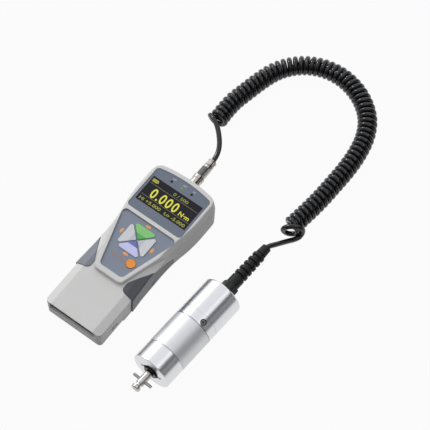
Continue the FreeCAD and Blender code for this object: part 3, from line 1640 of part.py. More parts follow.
os.makedirs("parts", exist_ok=True)
for part in nodes:
    part.Shape.exportStep("parts/%s.step" % part.Label)
print(len(nodes), "sub-parts written")
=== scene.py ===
# Torque gauge: a display unit with a keypad, and a torque sensor on a curly cable, lying on a pale table.
import math

import bmesh
import bpy
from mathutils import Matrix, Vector


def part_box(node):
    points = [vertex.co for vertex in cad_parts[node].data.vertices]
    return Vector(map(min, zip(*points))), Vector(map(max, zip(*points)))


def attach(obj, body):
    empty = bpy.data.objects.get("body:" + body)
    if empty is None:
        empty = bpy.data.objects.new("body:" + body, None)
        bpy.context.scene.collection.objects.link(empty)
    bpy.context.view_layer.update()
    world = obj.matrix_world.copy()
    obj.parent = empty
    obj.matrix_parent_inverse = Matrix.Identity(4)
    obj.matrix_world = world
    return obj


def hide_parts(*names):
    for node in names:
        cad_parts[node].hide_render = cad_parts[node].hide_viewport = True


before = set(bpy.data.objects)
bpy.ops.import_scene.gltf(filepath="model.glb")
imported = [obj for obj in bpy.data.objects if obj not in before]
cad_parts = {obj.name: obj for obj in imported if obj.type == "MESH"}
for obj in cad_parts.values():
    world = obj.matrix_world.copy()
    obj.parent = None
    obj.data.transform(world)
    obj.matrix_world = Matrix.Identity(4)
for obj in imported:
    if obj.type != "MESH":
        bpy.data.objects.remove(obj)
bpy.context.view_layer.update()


# Photo angle. The camera looks down at the parts from the lower right, from a little under two metres,
# so that edges along the table draw together only slightly.
eye = Vector((0.5513, -0.6071, 1.6567))
aim = Vector((0.03634, 0.0773, 0.020))
camera = bpy.data.objects.new("camera", bpy.data.cameras.new("camera"))
camera.data.lens = 171.9
camera.data.sensor_width = 36.0
camera.data.clip_end = 20.0
camera.location = eye
camera.rotation_mode = "QUATERNION"
camera.rotation_quaternion = (aim - eye).to_track_quat("-Z", "Y")
bpy.context.collection.objects.link(camera)
bpy.context.scene.camera = camera
bpy.context.scene.view_settings.view_transform = "Standard"


# Curly cable. A round black jacket over four cores, wound on a bar and baked so that it springs back.
# It leaves the plug as a short lead, coils left-handed along its route and makes one open ring before
# the sensor's lead.
class Socket:
    """Socket of a material's node, on which Python's operators add Math nodes."""

    def __init__(self, finish, socket):
        self.finish = finish
        self.socket = socket

    def math(self, operation, *values):
        return self.finish.node("ShaderNodeMath", {"operation": operation}, dict(enumerate(values)))

    def __add__(self, other):
        return self.math("ADD", self, other)

    def __radd__(self, other):
        return self.math("ADD", other, self)

    def __sub__(self, other):
        return self.math("SUBTRACT", self, other)

    def __rsub__(self, other):
        return self.math("SUBTRACT", other, self)

    def __mul__(self, other):
        return self.math("MULTIPLY", self, other)

    def __rmul__(self, other):
        return self.math("MULTIPLY", other, self)

    def __abs__(self):
        return self.math("ABSOLUTE", self)

    def __lt__(self, other):
        return self.math("LESS_THAN", self, other)

    def __gt__(self, other):
        return self.math("GREATER_THAN", self, other)


class Finish:
    """One finish: a material on the Principled shader, built up node by node."""

    def __init__(self, name, **constants):
        self.material = bpy.data.materials.new(name)
        self.material.use_nodes = True
        self.tree = self.material.node_tree
        self.shader = self.tree.nodes["Principled BSDF"]
        for key, value in constants.items():
            self.shader.inputs[key.replace("_", " ")].default_value = value

    def feed(self, socket, value):
        if isinstance(value, Socket):
            self.tree.links.new(value.socket, socket)
        else:
            socket.default_value = value

    def node(self, kind, settings=None, inputs=None, output=0):
        made = self.tree.nodes.new(kind)
        for key, value in (settings or {}).items():
            setattr(made, key, value)
        for key, value in (inputs or {}).items():
            self.feed(made.inputs[key], value)
        return Socket(self, made.outputs[output])

    def place(self):
        return self.node("ShaderNodeTexCoord", output="Object")

    def along(self, axis):
        return self.node("ShaderNodeSeparateXYZ", inputs={0: self.place()}, output="XYZ".index(axis))

    def noise(self, scale, detail=2.0, stretch=(1.0, 1.0, 1.0)):
        spread = self.node("ShaderNodeVectorMath", {"operation": "MULTIPLY"}, {0: self.place(), 1: stretch})
        return self.node("ShaderNodeTexNoise", inputs={"Vector": spread, "Scale": scale, "Detail": detail})

    def band(self, value, low, high, low_to=0.0, high_to=1.0):
        return self.node("ShaderNodeMapRange", {"interpolation_type": "SMOOTHSTEP"},
                         {"Value": value, "From Min": low, "From Max": high,
                          "To Min": low_to, "To Max": high_to})

    def blend(self, factor, first, second):
        return self.node("ShaderNodeMix", {"data_type": "RGBA"}, {0: factor, 6: first, 7: second}, output=2)

    def colour(self, value):
        self.feed(self.shader.inputs["Base Color"], value)

    def roughness(self, value):
        self.feed(self.shader.inputs["Roughness"], value)

    def relief(self, height, distance, strength=1.0):
        bump = self.node("ShaderNodeBump", inputs={"Height": height, "Distance": distance,
                                                   "Strength": strength})
        self.feed(self.shader.inputs["Normal"], bump)

    def on(self, *names):
        for name in names:
            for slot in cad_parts[name].material_slots:
                slot.material = self.material


def grey(level, warm=0.0):
    return (level * (1 + warm), level, level * (1 - warm), 1.0)


def smooth_line(name, points):
    line = bpy.data.curves.new(name, "CURVE")
    line.dimensions = "3D"
    spline = line.splines.new("NURBS")
    spline.points.add(len(points) - 1)
    for knot, point in zip(spline.points, points):
        knot.co = (*point, 1.0)
    spline.order_u = 3
    spline.use_endpoint_u = True
    return bpy.data.objects.new(name, line)


cable_thick = 0.0049
plug_exit = (0.0, 0.1161, 0.0145)
plug_lead = [plug_exit, (0.0, 0.1244, 0.0145), (-0.0018, 0.1330, 0.0149), (-0.0058, 0.1405, 0.0152),
             (-0.0117, 0.1475, 0.0157), (-0.0180, 0.1535, 0.0160), (-0.0240, 0.1577, 0.0161),
             (-0.0302, 0.1603, 0.0150), (-0.0337, 0.1622, 0.0110)]
coil_route = [(-0.0246, 0.1617), (-0.0261, 0.1825), (-0.0223, 0.2018), (-0.0185, 0.2207), (-0.013, 0.2391),
              (-0.0011, 0.2552), (0.0155, 0.2661), (0.0349, 0.2705), (0.0546, 0.268), (0.0725, 0.2597),
              (0.0872, 0.2464), (0.096, 0.2287), (0.0998, 0.2096), (0.101, 0.1903), (0.1004, 0.1711),
              (0.0998, 0.1518), (0.0979, 0.1328), (0.0953, 0.1142)]
sensor_lead = [(0.1062, 0.1153, 0.0055), (0.1056, 0.1118, 0.0036), (0.1036, 0.1068, 0.0042),
               (0.1010, 0.1008, 0.0078), (0.0979, 0.0925, 0.0128), (0.0954, 0.0855, 0.0172),
               (0.0936, 0.0818, 0.0191), (0.09295, 0.07893, 0.0194)]
coil_height = 0.00948
coil_radius = 0.00708
coil_pitch = 0.00545
turn_points = 16
coil_starts = 0.36
coil_ends = 0.25
open_ring_middle = Vector((0.0984, 0.1117, coil_height))
open_ring_side = Vector((0.00755, 0.00500, 0.0))
slip_fade = 2.5
middle = smooth_line("coil_middle", [(x, y, coil_height) for x, y in coil_route])
middle.data.resolution_u = 32
read = bpy.data.meshes.new_from_object(middle)
stations = [vertex.co.copy() for vertex in read.vertices]
bpy.data.objects.remove(middle)
reached = [0.0]
for before, after in zip(stations, stations[1:]):
    reached.append(reached[-1] + (after - before).length)
turns = round(reached[-1] / coil_pitch)
rings = []
station = 0
for count in range(round(turn_points * coil_starts), round(turn_points * (turns + coil_ends)) + 1):
    turned = count / turn_points
    gone = min((turned - coil_starts * 0.5) * reached[-1] / turns, reached[-1])
    while station < len(stations) - 2 and reached[station + 1] < gone:
        station += 1
    onward = (stations[station + 1] - stations[station]).normalized()
    part = (gone - reached[station]) / (reached[station + 1] - reached[station])
    centre = stations[station].lerp(stations[station + 1], part)
    aside = Vector((0, 0, 1)).cross(onward)
    angle = 2 * math.pi * turned
    rings.append(centre + coil_radius * (math.cos(angle) * Vector((0, 0, 1)) + math.sin(angle) * aside))
slip = rings[-1] - open_ring_middle - open_ring_side
for count in range(1, turn_points + 1):
    angle = 2 * math.pi * (count / turn_points + coil_ends)
    ring_point = open_ring_middle + math.sin(angle) * open_ring_side
    ring_point = ring_point + Vector((0, 0, math.cos(angle) * coil_radius))
    rings.append(ring_point + slip * max(0.0, 1.0 - slip_fade * count / turn_points))
cable = smooth_line("curly_cable", plug_lead + [tuple(point) for point in rings] + sensor_lead)
cable.data.bevel_depth = cable_thick / 2
cable.data.bevel_resolution = 5
cable.data.resolution_u = 4
cable.data.use_fill_caps = True
bpy.context.collection.objects.link(cable)
jacket = Finish("cable_jacket", IOR=1.38, Coat_Weight=0.42, Coat_Roughness=0.06)
grain = jacket.noise(900.0, 3.0)
cloud = jacket.noise(60.0, 2.0)
jacket.colour(jacket.blend(cloud, (0.003, 0.003, 0.004, 1.0), (0.006, 0.006, 0.008, 1.0)))
jacket.roughness(0.12 + 0.12 * jacket.noise(350.0, 3.0))
jacket.relief(grain, 0.00003, 0.6)
cable.data.materials.append(jacket.material)
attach(cable, "gauge")
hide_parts("cord_lead_plug", "cord_coil", "cord_lead_sensor")


# Ferrule behind the plug's clamp nut. A nickel ring with fine flutes that grips the cable's jacket.
flute_radius = 0.0041
flute_share = 0.965
flute_steps = 4
flutes = 24
ferrule_profile = [(0.1160, 0.0036), (0.1163, 0.0044), (0.1172, 0.0044), (0.1175, flute_radius),
                   (0.1210, flute_radius), (0.1213, 0.0044), (0.1220, 0.0044), (0.1225, 0.0037),
                   (0.1225, 0.0026)]
ring_shape = bmesh.new()
turned_rows = []
for level, radius in ferrule_profile:
    row = []
    for step in range(flutes * flute_steps):
        angle = 2 * math.pi * step / (flutes * flute_steps)
        reach = radius * (flute_share if radius == flute_radius and step % flute_steps < 2 else 1.0)
        row.append(ring_shape.verts.new((plug_exit[0] + reach * math.cos(angle), level,
                                         plug_exit[2] + reach * math.sin(angle))))
    turned_rows.append(row)
for low, high in zip(turned_rows, turned_rows[1:]):
    for one in range(len(low)):
        two = (one + 1) % len(low)
        ring_shape.faces.new((low[one], high[one], high[two], low[two]))
ring_shape.faces.new(turned_rows[0])
ring_shape.faces.new(turned_rows[-1][::-1])
bmesh.ops.recalc_face_normals(ring_shape, faces=ring_shape.faces)
ferrule_mesh = bpy.data.meshes.new("plug_ferrule")
ring_shape.to_mesh(ferrule_mesh)
ring_shape.free()
ferrule = bpy.data.objects.new("plug_ferrule", ferrule_mesh)
bpy.context.collection.objects.link(ferrule)
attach(ferrule, "gauge")


# Moulded case of the display unit. Two injection-moulded halves in warm grey plastic, screwed from behind,
# with a fine spark-eroded grain all over. Low on each side, a spot of the wall stands out through the
# rubber grip and is painted in the grip's colour.
case = Finish("case_plastic", IOR=1.3)
fine = case.noise(2600.0, 2.0)
broad = case.noise(35.0, 3.0)
grip_right_shade = (0.094, 0.096, 0.109, 1.0)
grip_left_painted_light = (0.21, 0.217, 0.252, 1.0)
case_tone = case.blend(broad, grey(0.63, 0.018), grey(0.67, 0.022))
spot_from_x = 0.02
spot_middle_y = -0.0033
spot_half_long = 0.0045
spot_middle_z = 0.0056
spot_half_high = 0.0037
painted_side = abs(case.along("X")) > spot_from_x
painted_long = abs(case.along("Y") - spot_middle_y) < spot_half_long
painted_high = abs(case.along("Z") - spot_middle_z) < spot_half_high
# Painted light: on the left, which faces the light, the grip's colour is lighter; the spot takes it over.
grip_tone = case.blend(case.along("X") < 0.0, grip_right_shade, grip_left_painted_light)
case.colour(case.blend(painted_side * painted_long * painted_high, case_tone, grip_tone))
case.roughness(0.40 + 0.12 * case.noise(700.0, 2.0))
case.relief(fine, 0.00004, 0.5)
case.on("rear_case", "front_cover")


# Plate round the connector. The same plastic in a plain dull grain, pressed into the top edge of the case.
plate = Finish("plate_plastic", IOR=1.49)
plate.colour(plate.blend(plate.noise(50.0, 3.0), grey(0.47, 0.02), grey(0.53, 0.02)))
plate.roughness(0.5 + 0.15 * plate.noise(900.0, 2.0))
plate.relief(plate.noise(2200.0, 2.0), 0.00005, 0.5)
plate.on("connector_plate")


# Screen and keypad panels. Polycarbonate film printed blue-grey on its back, with a fine velvet face,
# glued into the two recesses of the front cover.
panel = Finish("panel_film", IOR=1.52)
velvet = panel.noise(3200.0, 1.0)
panel.colour(panel.blend(panel.noise(40.0, 3.0), (0.125, 0.147, 0.200, 1.0), (0.150, 0.172, 0.226, 1.0)))
panel.roughness(0.33 + 0.1 * panel.noise(500.0, 2.0))
panel.relief(velvet, 0.00002, 0.5)
panel.on("screen_panel")
keypad_film = Finish("keypad_film", IOR=1.52)
keypad_film.colour(keypad_film.blend(keypad_film.noise(40.0, 3.0), (0.195, 0.220, 0.285, 1.0),
                                     (0.222, 0.250, 0.318, 1.0)))
keypad_film.roughness(0.36 + 0.1 * keypad_film.noise(500.0, 2.0))
keypad_film.relief(keypad_film.noise(3200.0, 1.0), 0.00002, 0.5)
keypad_film.on("keypad_panel")


# Display window. A dark cover glass over the display, clean and slightly blue, with faint wiping marks.
glass = Finish("window_glass", IOR=1.33)
smear = glass.noise(90.0, 3.0, (1.0, 0.25, 1.0))
glass.colour(glass.blend(smear, (0.0065, 0.0060, 0.0110, 1.0), (0.0100, 0.0092, 0.0160, 1.0)))
glass.roughness(0.10 + 0.12 * glass.band(smear, 0.4, 0.7))
glass.relief(glass.noise(25.0, 1.0), 0.00002, 0.2)
glass.on("display_glass")


# Lit figures behind the window. Yellow-green dots glow on the dark display: the torque now, a store
# count, two set limits, a battery sign and two ruled lines. They are flat and stand just over the glass.
lit = Finish("display_glow", Roughness=0.5, Emission_Strength=0.32)
dots = lit.node("ShaderNodeTexVoronoi", {"feature": "F1", "distance": "CHEBYCHEV"},
                {"Vector": lit.place(), "Scale": 3300.0, "Randomness": 0.0})
shine = lit.band(dots, 0.38, 0.5, 1.0, 0.72)
bright = lit.blend(shine, (0.20, 0.19, 0.008, 1.0), (0.62, 0.60, 0.045, 1.0))
lit.colour(bright)
lit.feed(lit.shader.inputs["Emission Color"], bright)
lit.roughness(0.45 + 0.1 * lit.noise(900.0))
faint = Finish("display_dim_glow", Roughness=0.5, Emission_Strength=0.25)
dim = faint.blend(faint.noise(700.0, 2.0), (0.24, 0.24, 0.022, 1.0), (0.34, 0.34, 0.035, 1.0))
faint.colour(dim)
faint.feed(faint.shader.inputs["Emission Color"], dim)
faint.roughness(0.45 + 0.1 * faint.noise(900.0))
ruled = Finish("display_rule", Roughness=0.5, Emission_Strength=0.2)
rule_shade = ruled.blend(ruled.noise(700.0, 2.0), (0.17, 0.165, 0.075, 1.0), (0.24, 0.23, 0.11, 1.0))
ruled.colour(rule_shade)
ruled.feed(ruled.shader.inputs["Emission Color"], rule_shade)
ruled.roughness(0.45 + 0.1 * ruled.noise(900.0))
glass_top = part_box("display_glass")[1][2]
capital_share = 0.73
ink_thick = 0.00001
ink_lift = 0.00003


def lettering(name, words, left, base, height, width_share, finish, level, weight=0.0):
    """Flat words whose capitals are as high as height, starting at left on the line base."""
    text = bpy.data.curves.new(name, "FONT")
    text.body = words
    text.size = height / capital_share
    text.offset = weight
    text.extrude = ink_thick
    text.materials.append(finish.material)
    shown = bpy.data.objects.new(name, text)
    shown.location = (left, base, level + ink_lift)
    shown.scale = (width_share, 1.0, 1.0)
    bpy.context.collection.objects.link(shown)
    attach(shown, "gauge")


def flat_piece(name, outline, thick, level, finish, crown=0.0):
    """Thin plate with the given outline in X and Y and a rounded top edge, domed as high as crown."""
    shape = bmesh.new()
    middle_x = sum(x for x, y in outline) / len(outline)
    middle_y = sum(y for x, y in outline) / len(outline)
    steps = [(1.0, 0.0), (1.0, thick * 0.6), (0.97, thick * 0.85), (0.92, thick)]
    steps += [(0.6, thick + crown * 0.7), (0.3, thick + crown)] if crown else []
    rows = []
    for share, rise in steps:
        rows.append([shape.verts.new((middle_x + (x - middle_x) * share, middle_y + (y - middle_y) * share,
                                      level + rise)) for x, y in outline])
    for low, high in zip(rows, rows[1:]):
        for one in range(len(outline)):
            two = (one + 1) % len(outline)
            shape.faces.new((low[one], low[two], high[two], high[one]))
    shape.faces.new(rows[-1])
    shape.faces.new(rows[0][::-1])
    mesh = bpy.data.meshes.new(name)
    shape.to_mesh(mesh)
    shape.free()
    for face in mesh.polygons:
        face.use_smooth = crown > 0
    mesh.materials.append(finish.material)
    made = bpy.data.objects.new(name, mesh)
    bpy.context.collection.objects.link(made)
    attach(made, "gauge")


def bar(left, right, low, high):
    return [(left, low), (right, low), (right, high), (left, high)]


reading_base = 0.0518
reading_high = 0.0102
limits_base = 0.0451
limits_high = 0.0032
small_width = 1.36
rule_left = -0.0260
rule_right = 0.0268
sign_thick = 0.00002
for count, (sign, sign_x) in enumerate((("0", -0.0192), (".", -0.0125), ("0", -0.0092), ("0", -0.0023),
                                        ("0", 0.0047))):
    lettering("reading_%d" % count, sign, sign_x, reading_base, reading_high, 0.80, lit, glass_top,
              weight=0.00026)
lettering("reading_unit", "N·m", 0.0130, 0.0522, 0.0046, 1.02, lit, glass_top, weight=0.00012)
lettering("store_count", "0 / 500", -0.0024, 0.0656, 0.0031, small_width, faint, glass_top, weight=0.00004)
lettering("upper_limit", "Hi +5.000", -0.0257, limits_base, limits_high, small_width, faint, glass_top,
          weight=0.00008)
lettering("lower_limit", "Lo -5.000", 0.0024, limits_base, limits_high, small_width, faint, glass_top,
          weight=0.00008)
flat_piece("upper_rule", bar(rule_left, rule_right, 0.06385, 0.06420), sign_thick, glass_top, ruled)
flat_piece("lower_rule", bar(rule_left, rule_right, 0.05040, 0.05075), sign_thick, glass_top, ruled)
flat_piece("battery_sign", bar(-0.0262, -0.0204, 0.0658, 0.0693), sign_thick, glass_top, faint)
flat_piece("battery_tip", bar(-0.0203, -0.0196, 0.0667, 0.0684), sign_thick, glass_top, faint)


# Three status lamps over the window. Clear domes in the film: the outer two are unlit and look nearly
# black, the middle one glows green. Small pale words over them are printed on the film.
lamp = Finish("lamp_dome", IOR=1.4, Emission_Strength=0.22)
middle_lamp_reach = 0.004
middle_lamp = abs(lamp.along("X")) < middle_lamp_reach
speck = lamp.noise(1500.0)
lamp_colour = lamp.blend(middle_lamp, (0.004, 0.005, 0.012, 1.0),
                         lamp.blend(speck, (0.08, 0.22, 0.02, 1.0), (0.24, 0.46, 0.06, 1.0)))
lamp.colour(lamp_colour)
lamp.feed(lamp.shader.inputs["Emission Color"], lamp.blend(middle_lamp, grey(0.0), (0.05, 0.22, 0.015, 1.0)))
lamp.roughness(0.15 + 0.1 * lamp.noise(1200.0))
lamp.on("status_lights")
pale_ink = Finish("pale_print", IOR=1.5)
pale_ink.colour(pale_ink.blend(pale_ink.noise(900.0), (0.42, 0.45, 0.52, 1.0), (0.52, 0.55, 0.62, 1.0)))
pale_ink.roughness(0.5 + 0.1 * pale_ink.noise(700.0))
panel_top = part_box("screen_panel")[1][2]
lamp_spacing = 0.0112
lamp_word_shift = -0.0007
lamp_word_base = 0.0784
lamp_word_high = 0.0017
for words, spot_x in (("LO", -lamp_spacing), ("OK", 0.0), ("HI", lamp_spacing)):
    lettering("lamp_word_" + words.lower(), words, spot_x + lamp_word_shift, lamp_word_base, lamp_word_high,
              1.2, pale_ink, panel_top, weight=0.00006)


# Four triangular keys and the round power key. Translucent silicone caps, sprayed and lacquered, with a
# softly rounded top edge. Each triangle has a darker printed tip towards the middle.
key_middle_y = 0.0104
tip_long = 0.0064
patch_share = 0.9


def key_finish(name, main, tip, axis, sign):
    look = Finish(name, IOR=1.45, Coat_Weight=0.15, Coat_Roughness=0.3)
    reach = (look.along(axis) - (key_middle_y if axis == "Y" else 0.0)) * sign
    patch = look.noise(180.0, 3.0)
    body_colour = look.blend(patch, main, tuple(part * patch_share for part in main[:3]) + (1.0,))
    look.colour(look.blend(reach < tip_long, body_colour, tip))
    look.roughness(0.42 + 0.12 * look.noise(900.0, 2.0))
    look.relief(look.noise(2400.0, 1.0), 0.00002, 0.5)
    return look


key_finish("green_key", (0.245, 0.60, 0.20, 1.0), (0.075, 0.42, 0.095, 1.0), "Y", 1.0).on("zero_key")
key_finish("violet_key", (0.60, 0.61, 0.90, 1.0), (0.14, 0.16, 0.50, 1.0), "Y", -1.0).on("menu_key")
key_finish("grey_key_right", (0.66, 0.67, 0.69, 1.0), (0.52, 0.53, 0.56, 1.0), "X", 1.0).on("right_key")
key_finish("grey_key_left", (0.66, 0.67, 0.69, 1.0), (0.52, 0.53, 0.56, 1.0), "X", -1.0).on("left_key")
power = Finish("power_key", IOR=1.45, Coat_Weight=0.15, Coat_Roughness=0.3)
power.colour(power.blend(power.noise(180.0, 3.0), (0.92, 0.32, 0.035, 1.0), (0.78, 0.25, 0.025, 1.0)))
power.roughness(0.42 + 0.12 * power.noise(900.0, 2.0))
power.relief(power.noise(2400.0, 1.0), 0.00002, 0.5)
power.on("power_key")


# Orange marks round the keys. Four low oval domes of orange lacquer beside the keys and one line of small
# orange words by the power key, all printed on the keypad film.
orange = Finish("orange_print", IOR=1.5, Coat_Weight=0.2)
orange.colour(orange.blend(orange.noise(300.0, 3.0), (0.80, 0.36, 0.11, 1.0), (0.68, 0.31, 0.11, 1.0)))
orange.roughness(0.4 + 0.1 * orange.noise(900.0))
thin_orange = Finish("orange_fine_print", IOR=1.5)
thin_orange.colour(thin_orange.blend(thin_orange.noise(500.0), (0.46, 0.20, 0.10, 1.0),
                                     (0.36, 0.18, 0.11, 1.0)))
thin_orange.roughness(0.5 + 0.1 * thin_orange.noise(900.0))
keypad_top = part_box("keypad_panel")[1][2]
half_long = 0.00275
half_short = 0.0015
mark_side = 0.0170
mark_thick = 0.00008
mark_crown = 0.00006
mark_steps = 32
for name, mark_x, mark_y, half_x, half_y in (("top", 0.0, 0.0272, half_long, half_short),
                                             ("bottom", 0.0, -0.0062, half_long, half_short),
                                             ("left", -mark_side, key_middle_y, half_short, half_long),
                                             ("right", mark_side, key_middle_y, half_short, half_long)):
    ring = []
    for step in range(mark_steps):
        angle = 2 * math.pi * step / mark_steps
        ring.append((mark_x + half_x * math.cos(angle), mark_y + half_y * math.sin(angle)))
    flat_piece("orange_mark_" + name, ring, mark_thick, keypad_top, orange, crown=mark_crown)
lettering("power_words", "ON / OFF", -0.0108, -0.0131, 0.0023, 1.18, thin_orange, keypad_top, weight=0.0001)


# Rubber grips on both sides. Dark elastomer pads moulded with a fine leather-like grain, clipped flush
# into the sides of the case where the fingers hold it. The left one is lighter: painted light on the lit
# side.
rubber = Finish("grip_rubber", IOR=1.32, Coat_Weight=0.1, Coat_Roughness=0.3, Sheen_Weight=0.15,
                Sheen_Roughness=0.4)
cells = rubber.node("ShaderNodeTexVoronoi", {"feature": "F1"}, {"Vector": rubber.place(), "Scale": 1500.0})
plain_rubber = rubber.blend(rubber.noise(120.0, 3.0), (0.084, 0.085, 0.098, 1.0), (0.104, 0.106, 0.120, 1.0))
painted_light_rubber = rubber.blend(rubber.noise(120.0, 3.0), (0.190, 0.197, 0.230, 1.0), (0.230, 0.238, 0.275, 1.0))
# Painted light: the left grip, which faces the light, is given a lighter colour than the right one.
rubber.colour(rubber.blend(rubber.along("X") < 0.0, plain_rubber, painted_light_rubber))
rubber.roughness(0.38 + 0.14 * rubber.noise(600.0, 2.0))
rubber.relief(cells, 0.00008, 0.5)
rubber.on("grip_left", "grip_right")


# Socket bay in the tail, with its two sockets, and the strap's bar. Black moulded frames round a bright
# pressed shell, deep in the open end of the case. The key domes and the plug's pins are as bright.
bay = Finish("bay_plastic", IOR=1.35)
bay.colour(bay.blend(bay.noise(80.0, 3.0), grey(0.012), grey(0.018)))
bay.roughness(0.5 + 0.15 * bay.noise(800.0, 2.0))
bay.relief(bay.noise(1800.0, 2.0), 0.00005, 0.5)
bay.on("port_bay", "io_socket", "strap_bar")
shell = Finish("pressed_steel", Metallic=1.0)
shell.colour(shell.blend(shell.noise(400.0, 3.0, (1.0, 0.1, 1.0)), grey(0.50), grey(0.62)))
shell.roughness(0.28 + 0.14 * shell.noise(500.0, 3.0))
shell.relief(shell.noise(1500.0, 2.0, (1.0, 0.1, 1.0)), 0.00001, 0.4)
shell.on("usb_socket", "key_switches", "plug_pins")


# Round connector. Nickel-plated brass: a flanged socket with its nut, and the plug with a turned lock
# sleeve, a duller barrel behind it and a clamp nut round the cable. A dark line along the plug's upper
# right is a painted reflection of the dark flag, drawn in the finish.
streak_middle = 0.47
streak_half = 0.09
streak_edge = 0.16
grip_side_edge = 0.1
lock_sleeve_end = 0.1019


def round_the_plug(finish):
    """Angle round the plug's axis, in radians from straight up towards the right."""
    return finish.node("ShaderNodeMath", {"operation": "ARCTAN2"},
                       {0: finish.along("X"), 1: finish.along("Z") - plug_exit[2]})


nickel = Finish("nickel_plate", Metallic=1.0)
lathe = nickel.noise(220.0, 2.0, (0.05, 14.0, 0.05))
plated = nickel.blend(nickel.noise(150.0, 3.0), (0.46, 0.42, 0.39, 1.0), (0.60, 0.56, 0.51, 1.0))
# Painted reflection: a dark line along the plug's upper right stands in for the dark flag's reflection.
painted_reflection_line = nickel.band(abs(round_the_plug(nickel) - streak_middle), streak_half, streak_edge)
nickel.colour(nickel.blend(painted_reflection_line, (0.045, 0.04, 0.04, 1.0), plated))
nickel.roughness(0.12 + 0.12 * lathe)
nickel.relief(lathe, 0.00002, 0.35)
nickel.on("sensor_socket", "socket_nut", "plug_lock_sleeve", "plug_clamp_nut")
ferrule_mesh.materials.append(nickel.material)
barrel = Finish("plug_barrel")
rear_part = barrel.along("Y") > lock_sleeve_end
to_streak = round_the_plug(barrel) - streak_middle
grip_side = rear_part * (to_streak < grip_side_edge)
barrel.feed(barrel.shader.inputs["Metallic"], 1.0 - 0.75 * grip_side)
sides = barrel.blend(grip_side, (0.64, 0.60, 0.56, 1.0),
                     barrel.blend(barrel.noise(500.0, 2.0), grey(0.10), grey(0.15)))
# Painted reflection: the same dark line of the dark flag along the barrel's upper right.
barrel.colour(barrel.blend(barrel.band(abs(to_streak), streak_half, streak_edge),
                           (0.03, 0.028, 0.03, 1.0), sides))
barrel.roughness(0.26 + 0.2 * rear_part + 0.1 * barrel.noise(700.0))
barrel.relief(barrel.noise(220.0, 2.0, (0.05, 14.0, 0.05)), 0.00002, 0.35)
barrel.on("plug_body")


# Torque sensor's barrel. Two turned aluminium caps, clear anodised, with fine lathe marks round them, and
# between them a sleeve with a fine satin cross-roll for the hand. A small clamp screw stands in a recess
# in the rear cap; the recess and the rim of the screw's head are darkened as painted shade.
sensor_turn = math.radians(3.335)
barrel_radius = 0.0194
sleeve_from_nose = 0.0200
sleeve_end_from_nose = 0.0552
screw_from_nose = 0.0593
screw_lean = math.radians(29.0)
joint_half = 0.0002
joint_edge = 0.0007
recess_radius = 0.0029
recess_edge = 0.0032
bright_head_radius = 0.0017
dark_head_radius = 0.0021
across = Vector((math.cos(sensor_turn), -math.sin(sensor_turn), 0.0))
forward = Vector((math.sin(sensor_turn), math.cos(sensor_turn), 0.0))
nose_middle = Vector((0.0838, -0.0781, barrel_radius))


def down_the_barrel(finish):
    """Distance along the sensor from its front face, in metres."""
    turned_to = finish.node("ShaderNodeVectorMath", {"operation": "DOT_PRODUCT"},
                            {0: finish.place(), 1: tuple(forward)}, output="Value")
    return turned_to - nose_middle.dot(forward)


turned_cap = Finish("turned_aluminium", Metallic=1.0)
spot = down_the_barrel(turned_cap)
marks = turned_cap.node("ShaderNodeTexNoise", {"noise_dimensions": "1D"}, {"W": spot * 9000.0, "Detail": 2.0})
bare_tone = turned_cap.blend(turned_cap.noise(30.0, 3.0), (0.73, 0.73, 0.76, 1.0), (0.79, 0.79, 0.82, 1.0))
screw_side = math.sin(screw_lean) * across + math.cos(screw_lean) * Vector((0, 0, 1))
screw_top = nose_middle + forward * screw_from_nose + barrel_radius * screw_side


def from_screw(finish):
    """Distance from the middle of the clamp screw's head, in metres."""
    return finish.node("ShaderNodeVectorMath", {"operation": "DISTANCE"},
                       {0: finish.place(), 1: tuple(screw_top)}, output="Value")


# Painted shade: the cap is dark round the clamp screw, where its recess lies in shade.
cap_tone = turned_cap.blend(turned_cap.band(from_screw(turned_cap), recess_radius, recess_edge), grey(0.12),
                            bare_tone)
joint = (turned_cap.band(abs(spot - sleeve_from_nose), joint_half, joint_edge)
         * turned_cap.band(abs(spot - sleeve_end_from_nose), joint_half, joint_edge))
turned_cap.colour(turned_cap.blend(joint, (0.55, 0.55, 0.57, 1.0), cap_tone))
turned_cap.roughness(0.20 + 0.12 * marks)
turned_cap.relief(marks, 0.000002, 0.5)
turned_cap.on("sensor_front_cap", "sensor_rear_cap")
screw_head = Finish("clamp_screw_head", Metallic=1.0)
screw_tone = screw_head.blend(screw_head.noise(400.0, 3.0), grey(0.45), grey(0.58))
# Painted shade: the rim of the screw's head is dark, as shade in its recess.
screw_head.colour(screw_head.blend(screw_head.band(from_screw(screw_head), bright_head_radius,
                                                   dark_head_radius), screw_tone, grey(0.12)))
screw_head.roughness(0.3 + 0.14 * screw_head.noise(500.0, 3.0))
screw_head.relief(screw_head.noise(1500.0, 2.0), 0.00001, 0.4)
screw_head.on("clamp_screw")
satin = Finish("satin_aluminium", Metallic=1.0)
satin_grain = satin.noise(2500.0, 2.0)
satin.colour(satin.blend(satin.noise(45.0, 3.0), (0.70, 0.70, 0.72, 1.0), (0.76, 0.76, 0.78, 1.0)))
satin.roughness(0.46 + 0.1 * satin_grain)
satin.relief(satin_grain, 0.00003, 0.5)
satin.on("sensor_grip_sleeve")


